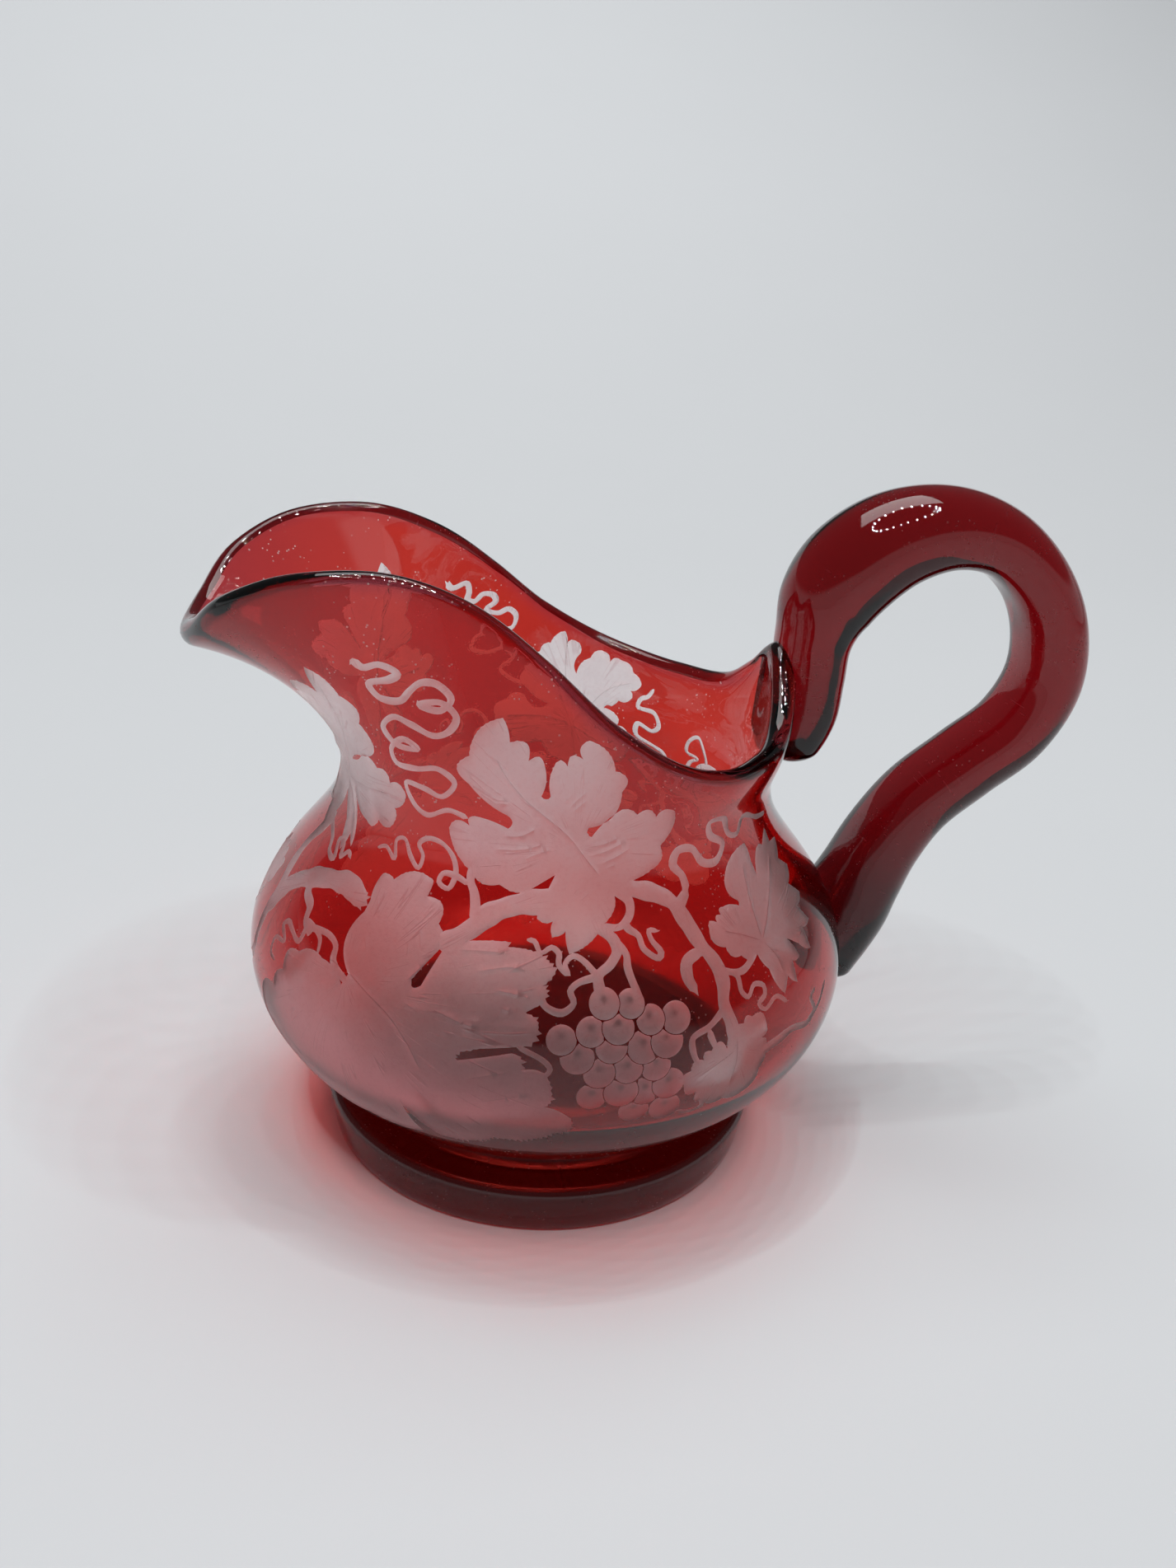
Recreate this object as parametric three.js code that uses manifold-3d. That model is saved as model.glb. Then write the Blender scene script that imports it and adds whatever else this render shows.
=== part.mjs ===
// A small cream jug of ruby glass, made of the three gathers of a blown and applied jug: a squat bowl whose rim is
// drawn out into a pouring lip, a thick foot, and a handle that is dabbed on the belly, looped up and pressed on the rim.
// Millimetres, +Z up, +X towards the handle, -X towards the lip. The origin is the centre of the foot's ground base.
import * as THREE from "three";
import { mergeVertices } from "three/addons/utils/BufferGeometryUtils.js";
import Module from "manifold-3d";

const wasm = await Module();
wasm.setup();

// Joints between the gathers
const jointGap = 0.3; // the fused joints are left open by this much, so that each gather is a solid of its own

// Foot, a ground and polished disc
const footBaseRadius = 29.1;
const footRadius = 30;
const footHeight = 6.8; // top of the ledge that shows round the bowl
const footChamfer = 0.5; // ground arris round the base
const footShoulder = 1.2; // radius of the fire-polished top edge
const seatRadius = 24.2; // neck of glass where the bowl is stuck on
const seatRise = 1.5; // the seat's height over the ledge
const seatFillet = 1.4; // hollow round the neck of glass

// Bowl
const bowlRadius = 40; // widest, at the belly
const bellyHeight = 28; // height of the widest place over the base
const neckRadius = 28.2; // the waist under the rim
const neckHeight = 53;
const keelSlope = 24; // degrees, how steeply the bowl leaves the foot
const keelPull = 10; // how far that slope carries on before the belly turns up
const bellyDrop = 8; // upright stretch under the widest place
const shoulderPull = 12; // upright stretch over the widest place
const neckPull = 9; // upright stretch under the waist
const baseThickness = 4.2;
const wallThickness = 2.3;
const keelBlend = 0.7; // share of the keel over which the thick base thins to the wall
const rimSwell = 4; // the higher, the closer to the edge the wall swells to the rim's thickness

// Rim, from the tip of the lip (0 degrees) round to the handle (180). Both sides are alike. Overhang is how far the
// edge stands out past the waist, rise is its height over the waist, flare is the wall's lean there, outward, in
// degrees from upright, and edge is the thickness of the fire-polished rim. The throat behind the lip is pinched in,
// and the last stretch is the tongue of rim that is pulled up under the handle.
const rimStations = [
  { turn: 0, overhang: 18.9, rise: 18.0, flare: 78, edge: 3.6 },
  { turn: 10, overhang: 17.7, rise: 20.4, flare: 68, edge: 3.4 },
  { turn: 19, overhang: 15.4, rise: 25.1, flare: 48, edge: 3.0 },
  { turn: 28, overhang: 10.3, rise: 28.7, flare: 28, edge: 2.6 },
  { turn: 39, overhang: 3.0, rise: 29.7, flare: 8, edge: 2.4 },
  { turn: 54, overhang: -3.1, rise: 27.1, flare: -8, edge: 2.4 },
  { turn: 74, overhang: -4.5, rise: 21.4, flare: -10, edge: 2.4 },
  { turn: 92, overhang: -1.7, rise: 14.8, flare: 0, edge: 2.5 },
  { turn: 107, overhang: 0.6, rise: 10.4, flare: 8, edge: 2.6 },
  { turn: 121, overhang: 0.8, rise: 8.2, flare: 10, edge: 2.7 },
  { turn: 137, overhang: 0.2, rise: 7.5, flare: 8, edge: 2.8 },
  { turn: 156, overhang: 0.3, rise: 8.6, flare: 6, edge: 3.0 },
  { turn: 168, overhang: 0.6, rise: 12.4, flare: 6, edge: 3.2 },
  { turn: 180, overhang: 1.0, rise: 16.4, flare: 8, edge: 3.2 },
];
const throatStartPull = 0.3; // share of the stretch from waist to edge over which the wall leaves the waist upright
const throatEndPull = 0.42; // share of it over which the wall takes its flare

// Handle, an oval rod with round ends. Each stretch is given from the part of the bowl that it hangs on: out is away
// from the bowl, up is over that place, depth is half the rod's size in the plane of the loop and width is half its
// size across it.
const tailOnNeck = [
  { out: 2.0, up: 0.2, depth: 2.6, width: 4.4 },
  { out: 3.4, up: 3.4, depth: 3.7, width: 5.6 },
  { out: 4.4, up: 7.4, depth: 4.4, width: 6.1 },
  { out: 4.7, up: 12.2, depth: 4.5, width: 6.2 },
];
const bowOverRim = [
  { out: 3.9, up: 1.0, depth: 4.7, width: 6.3 },
  { out: 5.0, up: 5.6, depth: 5.9, width: 6.8 },
  { out: 7.8, up: 10.0, depth: 6.4, width: 7.1 },
  { out: 13.5, up: 14.1, depth: 6.1, width: 6.9 },
  { out: 21.1, up: 15.7, depth: 5.3, width: 6.4 },
  { out: 28.5, up: 13.9, depth: 4.6, width: 6.0 },
  { out: 34.6, up: 8.7, depth: 4.4, width: 5.9 },
  { out: 38.0, up: 1.9, depth: 4.6, width: 5.9 },
  { out: 38.4, up: -5.4, depth: 4.8, width: 5.9 },
];
const legOverBelly = [
  { out: 24.2, up: 29.1, depth: 4.8, width: 6.0 },
  { out: 18.0, up: 23.9, depth: 4.8, width: 6.0 },
  { out: 11.6, up: 18.4, depth: 4.9, width: 6.0 },
  { out: 7.6, up: 12.4, depth: 5.2, width: 6.1 },
  { out: 5.2, up: 7.0, depth: 5.5, width: 6.4 },
  { out: 3.4, up: 2.8, depth: 5.8, width: 7.0 },
  { out: 1.4, up: -1.2, depth: 5.4, width: 7.6 },
  { out: 0.2, up: -4.6, depth: 4.6, width: 7.4 },
  { out: -0.6, up: -7.4, depth: 4.0, width: 6.8 },
];
const innerFlatness = 2.9; // 2 is an ellipse, more is flatter: the side of the rod that faces the bowl is tooled flat

// Fineness of the curved surfaces
const bowlColumns = 90;
const keelRows = 8;
const shoulderRows = 8;
const throatRows = 8;
const innerRowStep = 2; // the wall's inner side has one row for this many of the outer side's
const lipRows = 4;
const footSegments = 72;
const arcSteps = 5;
const rodSides = 18;
const rodStepsPerStation = 4;
const probeStep = 1e-3; // how far apart the points are that the wall's direction is read from

const degrees = Math.PI / 180;
const up = new THREE.Vector3(0, 0, 1);

// Materials
const rubyGlass = new THREE.MeshStandardMaterial({ color: 0x9c1f28, roughness: 0.08, metalness: 0 });
const deepRubyGlass = new THREE.MeshStandardMaterial({ color: 0x3d0a12, roughness: 0.06, metalness: 0 });
const handleGlass = new THREE.MeshStandardMaterial({ color: 0x6d121c, roughness: 0.06, metalness: 0 });

// A vector in the upright plane through the axis at a turn from the lip.
function inPlane(turn, radius, height) {
  return new THREE.Vector3(-radius * Math.cos(turn), radius * Math.sin(turn), height);
}

// Reads a column of values from a list of stations at any place between them, level at both ends.
function interpolator(stations, places, keys) {
  const values = stations.flatMap((station) => keys.map((key) => station[key]));
  const curve = new THREE.CubicInterpolant(places, values, keys.length);
  curve.settings = { endingStart: THREE.ZeroSlopeEnding, endingEnd: THREE.ZeroSlopeEnding };
  return (place) => Object.fromEntries(keys.map((key, i) => [key, curve.evaluate(place)[i]]));
}

const rimAt = interpolator(
  rimStations,
  rimStations.map((station) => station.turn),
  ["overhang", "rise", "flare", "edge"],
);

// The bowl's half outline from the seat to the waist: the same all round.
const seatHeight = footHeight + seatRise;
const bowlBottom = seatHeight + jointGap;
const keelCurve = new THREE.CubicBezierCurve(
  new THREE.Vector2(seatRadius, bowlBottom),
  new THREE.Vector2(
    seatRadius + keelPull * Math.cos(keelSlope * degrees),
    bowlBottom + keelPull * Math.sin(keelSlope * degrees),
  ),
  new THREE.Vector2(bowlRadius, bellyHeight - bellyDrop),
  new THREE.Vector2(bowlRadius, bellyHeight),
);
const shoulderCurve = new THREE.CubicBezierCurve(
  new THREE.Vector2(bowlRadius, bellyHeight),
  new THREE.Vector2(bowlRadius, bellyHeight + shoulderPull),
  new THREE.Vector2(neckRadius, neckHeight - neckPull),
  new THREE.Vector2(neckRadius, neckHeight),
);

// The rim's values at a turn from the lip, on either side.
function rimAround(turn) {
  return rimAt(Math.abs(THREE.MathUtils.euclideanModulo(turn / degrees + 180, 360) - 180));
}

// The outline from the waist to the edge at a turn from the lip, which differs all the way round.
function throatCurve(turn) {
  const { overhang, rise, flare, edge: thickness } = rimAround(turn);
  const lean = new THREE.Vector2(Math.sin(flare * degrees), Math.cos(flare * degrees));
  const outward = new THREE.Vector2(lean.y, -lean.x);
  const waist = new THREE.Vector2(neckRadius, neckHeight);
  const edge = waist
    .clone()
    .add(new THREE.Vector2(overhang, rise))
    .addScaledVector(lean, -thickness / 2)
    .addScaledVector(outward, thickness / 2);
  const stretch = waist.distanceTo(edge);
  return new THREE.CubicBezierCurve(
    waist,
    new THREE.Vector2(waist.x, waist.y + throatStartPull * stretch),
    edge.clone().addScaledVector(lean, -throatEndPull * stretch),
    edge,
  );
}

// The rows of the outer side, as [curve number, place on the curve], from the seat up to the edge.
const outerRows = [keelRows, shoulderRows, throatRows].flatMap((count, curve) =>
  Array.from({ length: count }, (unused, i) => [curve, i / count]),
);
outerRows.push([2, 1]);

// A point of the outer side, and the same point moved inwards along the wall's own normal.
function outerPoint(turn, [curve, place]) {
  const outline = [keelCurve, shoulderCurve, throatCurve(turn)][curve];
  const { x, y } = outline.getPoint(place);
  return inPlane(turn, x, y);
}

function wallFrame(turn, row) {
  const [curve, place] = row;
  const point = outerPoint(turn, row);
  const alongWall = outerPoint(turn, [curve, Math.min(place + probeStep, 1)])
    .sub(outerPoint(turn, [curve, Math.max(place - probeStep, 0)]))
    .normalize();
  const roundWall = outerPoint(turn + probeStep, row).sub(outerPoint(turn - probeStep, row));
  const normal = alongWall.clone().cross(roundWall).normalize();
  return { point, alongWall, normal };
}

// The wall's thickness: it thins out of the base, and swells again to the rim's own thickness.
function thicknessAt(turn, [curve, place]) {
  if (curve === 0) return THREE.MathUtils.lerp(baseThickness, wallThickness, Math.min(place / keelBlend, 1));
  if (curve === 1) return wallThickness;
  return THREE.MathUtils.lerp(wallThickness, rimAround(turn).edge, place ** rimSwell);
}

// Joins rings of points, all with the same number, into one closed surface between two end points.
function skin(rings, first, last) {
  const count = rings[0].length;
  const points = [first, ...rings.flat(), last];
  const at = (ring, i) => 1 + ring * count + (i % count);
  const faces = [];
  for (let i = 0; i < count; i += 1) {
    faces.push(0, at(0, i + 1), at(0, i));
    for (let ring = 0; ring + 1 < rings.length; ring += 1) {
      faces.push(at(ring, i), at(ring, i + 1), at(ring + 1, i));
      faces.push(at(ring, i + 1), at(ring + 1, i + 1), at(ring + 1, i));
    }
    faces.push(points.length - 1, at(rings.length - 1, i), at(rings.length - 1, i + 1));
  }
  const positions = points.flatMap((point) => point.toArray());
  return new THREE.BufferGeometry()
    .setAttribute("position", new THREE.Float32BufferAttribute(positions, 3))
    .setIndex(faces);
}

const turns = Array.from({ length: bowlColumns }, (unused, i) => -(2 * Math.PI * i) / bowlColumns);
const ringOf = (pointAt) => turns.map(pointAt);

// Rings of the rounded edge, from its outer side (0) over its crest (90 degrees) to its inner side (180).
function lipRing(angle, spare) {
  return ringOf((turn) => {
    const radius = rimAround(turn).edge / 2;
    const { point, alongWall, normal } = wallFrame(turn, [2, 1]);
    return point
      .addScaledVector(normal, -radius)
      .addScaledVector(normal, (radius + spare) * Math.cos(angle))
      .addScaledVector(alongWall, (radius + spare) * Math.sin(angle));
  });
}

function bowlGeometry() {
  const outer = outerRows.map((row) => ringOf((turn) => outerPoint(turn, row)));
  const lip = Array.from({ length: lipRows - 1 }, (unused, i) => lipRing((Math.PI * (i + 1)) / lipRows, 0));
  const innerRows = outerRows.filter((row, i) => (outerRows.length - 1 - i) % innerRowStep === 0).reverse();
  const inner = innerRows.map((row) =>
    ringOf((turn) => {
      const { point, normal } = wallFrame(turn, row);
      return point.addScaledVector(normal, -thicknessAt(turn, row));
    }),
  );
  const well = inner[inner.length - 1][0].z;
  return skin([...outer, ...lip, ...inner], up.clone().multiplyScalar(bowlBottom), up.clone().multiplyScalar(well));
}

// The room that the bowl takes from the handle: its outer side and edge, swollen by the joint's gap, filled inside.
function bowlRoomGeometry() {
  const outer = outerRows.map((row) =>
    ringOf((turn) => {
      const { point, normal } = wallFrame(turn, row);
      return point.addScaledVector(normal, jointGap);
    }),
  );
  const lip = Array.from({ length: lipRows / 2 }, (unused, i) => lipRing((Math.PI * (i + 1)) / lipRows, jointGap));
  return skin(
    [...outer, ...lip],
    up.clone().multiplyScalar(bowlBottom),
    up.clone().multiplyScalar(neckHeight),
  );
}

// A quarter circle as points, from one angle to another.
function arc(centreX, centreY, radius, from, to) {
  return Array.from({ length: arcSteps + 1 }, (unused, i) => {
    const angle = THREE.MathUtils.lerp(from, to, i / arcSteps);
    return new THREE.Vector2(centreX + radius * Math.cos(angle), centreY + radius * Math.sin(angle));
  });
}

function footGeometry() {
  const quarter = Math.PI / 2;
  const outline = [
    new THREE.Vector2(0, 0),
    new THREE.Vector2(footBaseRadius - footChamfer, 0),
    new THREE.Vector2(footBaseRadius, footChamfer),
    ...arc(footRadius - footShoulder, footHeight - footShoulder, footShoulder, 0, quarter),
    ...arc(seatRadius + seatFillet, footHeight + seatFillet, seatFillet, -quarter, -2 * quarter),
    new THREE.Vector2(seatRadius, seatHeight),
    new THREE.Vector2(0, seatHeight),
  ];
  return new THREE.LatheGeometry(outline, footSegments).rotateX(quarter);
}

// The handle's stations in the plane of the loop, from its tail on the neck to the dab on the belly.
const tongue = rimStations[rimStations.length - 1];
const hangOn = (stations, radius, height) =>
  stations.map(({ out, up: rise, depth, width }) => ({
    place: new THREE.Vector3(radius + out, 0, height + rise),
    depth,
    width,
  }));
const handleStations = [
  ...hangOn(tailOnNeck, neckRadius, neckHeight),
  ...hangOn(bowOverRim, neckRadius + tongue.overhang, neckHeight + tongue.rise),
  ...hangOn(legOverBelly, bowlRadius, bellyHeight),
];

function handleGeometry() {
  const last = handleStations.length - 1;
  const places = handleStations.map((unused, i) => i / last);
  const centreLine = new THREE.CatmullRomCurve3(handleStations.map((station) => station.place));
  const sizeAt = interpolator(handleStations, places, ["depth", "width"]);
  const steps = last * rodStepsPerStation;
  const across = new THREE.Vector3(0, 1, 0);
  const rings = Array.from({ length: steps - 1 }, (unused, i) => {
    const step = i + 1;
    const { depth, width } = sizeAt(step / steps);
    const fromEnd = Math.min(step, steps - step) / rodStepsPerStation;
    const roundEnd = fromEnd < 1 ? Math.sqrt(1 - (1 - fromEnd) ** 2) : 1;
    const centre = centreLine.getPoint(step / steps);
    const outside = across.clone().cross(centreLine.getTangent(step / steps)).negate();
    return Array.from({ length: rodSides }, (alsoUnused, side) => {
      const angle = -(2 * Math.PI * side) / rodSides;
      const [c, s] = [Math.cos(angle), Math.sin(angle)];
      const power = c < 0 ? 2 / innerFlatness : 1;
      return centre
        .clone()
        .addScaledVector(outside, roundEnd * depth * Math.sign(c) * Math.abs(c) ** power)
        .addScaledVector(across, roundEnd * width * Math.sign(s) * Math.abs(s) ** power);
    });
  });
  return skin(rings, centreLine.getPoint(0), centreLine.getPoint(1));
}

// A closed geometry as a solid that can be cut, and back.
function toSolid(geometry) {
  const bare = geometry.clone();
  bare.deleteAttribute("normal");
  bare.deleteAttribute("uv");
  const merged = mergeVertices(bare, 1e-4);
  return new wasm.Manifold(
    new wasm.Mesh({
      numProp: 3,
      vertProperties: Float32Array.from(merged.attributes.position.array),
      triVerts: Uint32Array.from(merged.index.array),
    }),
  );
}

function toGeometry(solid) {
  const { vertProperties, triVerts } = solid.getMesh();
  return new THREE.BufferGeometry()
    .setAttribute("position", new THREE.BufferAttribute(Float32Array.from(vertProperties), 3))
    .setIndex(new THREE.BufferAttribute(Uint32Array.from(triVerts), 1));
}

function piece(name, geometry, material) {
  geometry.computeVertexNormals();
  const mesh = new THREE.Mesh(geometry, material);
  mesh.name = name;
  return mesh;
}

const creamJug = new THREE.Group();
creamJug.add(piece("bowl", bowlGeometry(), rubyGlass));
creamJug.add(piece("foot", footGeometry(), deepRubyGlass));
creamJug.add(
  piece("handle", toGeometry(toSolid(handleGeometry()).subtract(toSolid(bowlRoomGeometry()))), handleGlass),
);

export default creamJug;
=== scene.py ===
"""Looks of a small ruby glass cream jug with a wheel-engraved grapevine, on the frame of its solids.

Sizes are in millimetres and degrees until a mesh is made, and turns run round the bowl from the lip (0) to the
handle (180), negative on the side that faces the camera.
"""
from __future__ import annotations

import logging
import math
from collections.abc import Callable, Iterator
from contextlib import contextmanager
from dataclasses import dataclass, field
from enum import Enum, IntEnum

import bmesh
import bpy
import numpy as np
from mathutils import Matrix, Vector
from mathutils.geometry import delaunay_2d_cdt
from mathutils.kdtree import KDTree

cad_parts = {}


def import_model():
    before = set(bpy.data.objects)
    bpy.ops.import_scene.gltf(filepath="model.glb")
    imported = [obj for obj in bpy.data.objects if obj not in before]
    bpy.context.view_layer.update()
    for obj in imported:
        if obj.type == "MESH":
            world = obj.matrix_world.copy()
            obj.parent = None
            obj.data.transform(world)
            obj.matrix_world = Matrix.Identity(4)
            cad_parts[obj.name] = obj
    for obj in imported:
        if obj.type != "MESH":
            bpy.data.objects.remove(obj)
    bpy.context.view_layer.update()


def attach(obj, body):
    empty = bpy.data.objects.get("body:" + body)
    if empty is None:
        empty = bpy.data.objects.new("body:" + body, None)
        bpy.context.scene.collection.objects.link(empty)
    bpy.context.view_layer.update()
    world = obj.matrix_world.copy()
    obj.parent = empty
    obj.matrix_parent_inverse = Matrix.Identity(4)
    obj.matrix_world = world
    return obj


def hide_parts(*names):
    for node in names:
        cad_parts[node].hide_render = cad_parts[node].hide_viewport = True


MM = 0.001
BUMP_STRENGTH = 0.35
log = logging.getLogger("cream_jug")

Colour = tuple[float, float, float]
Place = tuple[float, float]
Point = tuple[float, float, float]


class LevelEnded:
    """A smooth curve through the values of stations, level at its first and last station."""

    def __init__(self, places: list[float], values: list[float]) -> None:
        """Keeps the stations.

        Args:
            places: where the stations are, rising.
            values: the value at each station.
        """
        self.places = np.array(places, float)
        self.values = np.array(values, float)

    def at(self, place: np.ndarray) -> np.ndarray:
        """Reads the curve.

        Args:
            place: where to read it; places outside the stations read the end values.

        Returns:
            The values there.
        """
        x, y, last = self.places, self.values, len(self.places) - 1
        place = np.clip(np.asarray(place, float), x[0], x[-1])
        right = np.clip(np.searchsorted(x, place, side="right"), 1, last)
        left = right - 1
        before = np.where(left == 0, right, left - 1)
        after = np.where(right == last, left, np.minimum(right + 1, last))
        half = (x[right] - x[left]) / 2
        weight_before = half / (x[left] - np.where(left == 0, 2 * x[left] - x[right], x[np.maximum(left - 1, 0)]))
        weight_after = half / (np.where(right == last, 2 * x[right] - x[left], x[after]) - x[right])
        t = (place - x[left]) / (x[right] - x[left])
        t2, t3 = t * t, t * t * t
        share_before = weight_before * (2 * t2 - t3 - t)
        share_after = weight_after * (t3 - t2)
        share_left = (1 + weight_before) * t3 - (1.5 + 2 * weight_before) * t2 + (weight_before - 0.5) * t + 1
        share_right = (1.5 + weight_after) * t2 - (1 + weight_after) * t3 + 0.5 * t
        return share_before * y[before] + share_left * y[left] + share_right * y[right] + share_after * y[after]


@dataclass(frozen=True)
class RimStation:
    """The rim at one turn from the lip: how far it stands out past the waist, its rise, its flare and thickness."""

    turn: float
    overhang: float
    rise: float
    flare: float
    edge: float


RIM_STATIONS = (
    RimStation(0, 18.9, 18.0, 78, 3.6),
    RimStation(10, 17.7, 20.4, 68, 3.4),
    RimStation(19, 15.4, 25.1, 48, 3.0),
    RimStation(28, 10.3, 28.7, 28, 2.6),
    RimStation(39, 3.0, 29.7, 8, 2.4),
    RimStation(54, -3.1, 27.1, -8, 2.4),
    RimStation(74, -4.5, 21.4, -10, 2.4),
    RimStation(92, -1.7, 14.8, 0, 2.5),
    RimStation(107, 0.6, 10.4, 8, 2.6),
    RimStation(121, 0.8, 8.2, 10, 2.7),
    RimStation(137, 0.2, 7.5, 8, 2.8),
    RimStation(156, 0.3, 8.6, 6, 3.0),
    RimStation(168, 0.6, 12.4, 6, 3.2),
    RimStation(180, 1.0, 16.4, 8, 3.2),
)


def bezier(controls: list[np.ndarray], place: np.ndarray) -> np.ndarray:
    """A cubic Bezier curve.

    Args:
        controls: its four control points, each an array that ends in (radius, height).
        place: where to read it, 0 to 1.

    Returns:
        The points, as (radius, height).
    """
    t = place[..., None]
    first, second, third, fourth = controls
    return (1 - t) ** 3 * first + 3 * (1 - t) ** 2 * t * second + 3 * (1 - t) * t * t * third + t**3 * fourth


@dataclass(frozen=True)
class BowlForm:
    """The form of the blown bowl. A place on its wall is 0 to 1 on the keel, to 2 on the shoulder and to 3 above."""

    seat_radius: float = 24.2
    seat_height: float = 8.6
    bowl_radius: float = 40.0
    belly_height: float = 28.0
    neck_radius: float = 28.2
    neck_height: float = 53.0
    keel_slope: float = 24.0
    keel_pull: float = 10.0
    belly_drop: float = 8.0
    shoulder_pull: float = 12.0
    neck_pull: float = 9.0
    base_thickness: float = 4.2
    wall_thickness: float = 2.3
    keel_blend: float = 0.7
    rim_swell: float = 4.0
    throat_start_pull: float = 0.3
    throat_end_pull: float = 0.42

    def rim_at(self, turn: np.ndarray, key: str) -> np.ndarray:
        """One of the rim's values all round.

        Args:
            turn: turns from the lip, in radians.
            key: the name of a field of RimStation.

        Returns:
            The values at those turns.
        """
        around = np.abs((np.degrees(turn) + 180) % 360 - 180)
        curve = LevelEnded([s.turn for s in RIM_STATIONS], [getattr(s, key) for s in RIM_STATIONS])
        return curve.at(around)

    def throat(self, turn: np.ndarray) -> list[np.ndarray]:
        """The control points of the wall's outline from the waist to the edge, at each turn."""
        flare = np.radians(self.rim_at(turn, "flare"))
        half_edge = self.rim_at(turn, "edge")[..., None] / 2
        lean = np.stack([np.sin(flare), np.cos(flare)], -1)
        outward = np.stack([lean[..., 1], -lean[..., 0]], -1)
        waist = np.array([self.neck_radius, self.neck_height])
        reach = np.stack([self.rim_at(turn, "overhang"), self.rim_at(turn, "rise")], -1)
        edge = waist + reach - lean * half_edge + outward * half_edge
        stretch = np.linalg.norm(edge - waist, axis=-1)[..., None]
        start = waist + np.array([0, 1]) * self.throat_start_pull * stretch
        return [np.broadcast_to(waist, edge.shape), start, edge - lean * self.throat_end_pull * stretch, edge]

    def outer(self, turn: np.ndarray, place: np.ndarray) -> np.ndarray:
        """Points of the wall's outer side.

        Args:
            turn: turns from the lip, in radians.
            place: places on the outline, 0 to 3.

        Returns:
            The points, in millimetres.
        """
        turn, place = np.broadcast_arrays(np.asarray(turn, float), np.asarray(place, float))
        slope = math.radians(self.keel_slope)
        seat = np.array([self.seat_radius, self.seat_height])
        belly = np.array([self.bowl_radius, self.belly_height])
        waist = np.array([self.neck_radius, self.neck_height])
        leave = seat + self.keel_pull * np.array([math.cos(slope), math.sin(slope)])
        low = bezier([seat, leave, belly - [0, self.belly_drop], belly], np.clip(place, 0, 1))
        middle = bezier([belly, belly + [0, self.shoulder_pull], waist - [0, self.neck_pull], waist],
                        np.clip(place - 1, 0, 1))
        high = bezier(self.throat(turn), np.clip(place - 2, 0, 1))
        outline = np.where((place < 1)[..., None], low, np.where((place < 2)[..., None], middle, high))
        return np.stack([-outline[..., 0] * np.cos(turn), outline[..., 0] * np.sin(turn), outline[..., 1]], -1)

    def wall_frame(self, turn: np.ndarray, place: np.ndarray) -> tuple[np.ndarray, np.ndarray, np.ndarray]:
        """The outer side's points, its direction up the wall, and its outward normal.

        Args:
            turn: turns from the lip, in radians.
            place: places on the outline, 0 to 3.

        Returns:
            Points, directions up the wall and normals, each the shape of the places with 3 more.
        """
        turn, place = np.broadcast_arrays(np.asarray(turn, float), np.asarray(place, float))
        step = 1e-3
        floor = np.where(place <= 1, 0.0, np.where(place <= 2, 1.0, 2.0))
        up = self.outer(turn, np.minimum(place + step, 3)) - self.outer(turn, np.maximum(place - step, floor))
        up /= np.linalg.norm(up, axis=-1, keepdims=True)
        around = self.outer(turn + step, place) - self.outer(turn - step, place)
        normal = np.cross(up, around)
        normal /= np.linalg.norm(normal, axis=-1, keepdims=True)
        return self.outer(turn, place), up, normal

    def thickness(self, turn: np.ndarray, place: np.ndarray) -> np.ndarray:
        """The wall's thickness, which thins out of the base and swells again to the rim's own."""
        keel = np.interp(place / self.keel_blend, [0, 1], [self.base_thickness, self.wall_thickness])
        swell = np.clip(place - 2, 0, 1) ** self.rim_swell
        throat = self.wall_thickness + (self.rim_at(turn, "edge") - self.wall_thickness) * swell
        return np.where(place < 1, keel, throat)

    def inner(self, turn: np.ndarray, place: np.ndarray) -> np.ndarray:
        """Points of the wall's inner side, across from places on the outer side."""
        turn, place = np.broadcast_arrays(np.asarray(turn, float), np.asarray(place, float))
        point, _, normal = self.wall_frame(turn, place)
        return point - normal * self.thickness(turn, place)[..., None]

    def edge_ring(self, turn: np.ndarray, angle: float, spare: float = 0.0) -> np.ndarray:
        """A ring of the fire-polished edge, from its outer side (0) over its crest (90 degrees) to its inner (180)."""
        radius = (self.rim_at(turn, "edge") / 2)[..., None]
        point, up, normal = self.wall_frame(turn, np.full_like(turn, 3.0))
        around = math.radians(angle)
        return point - normal * radius + (radius + spare) * (normal * math.cos(around) + up * math.sin(around))


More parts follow.
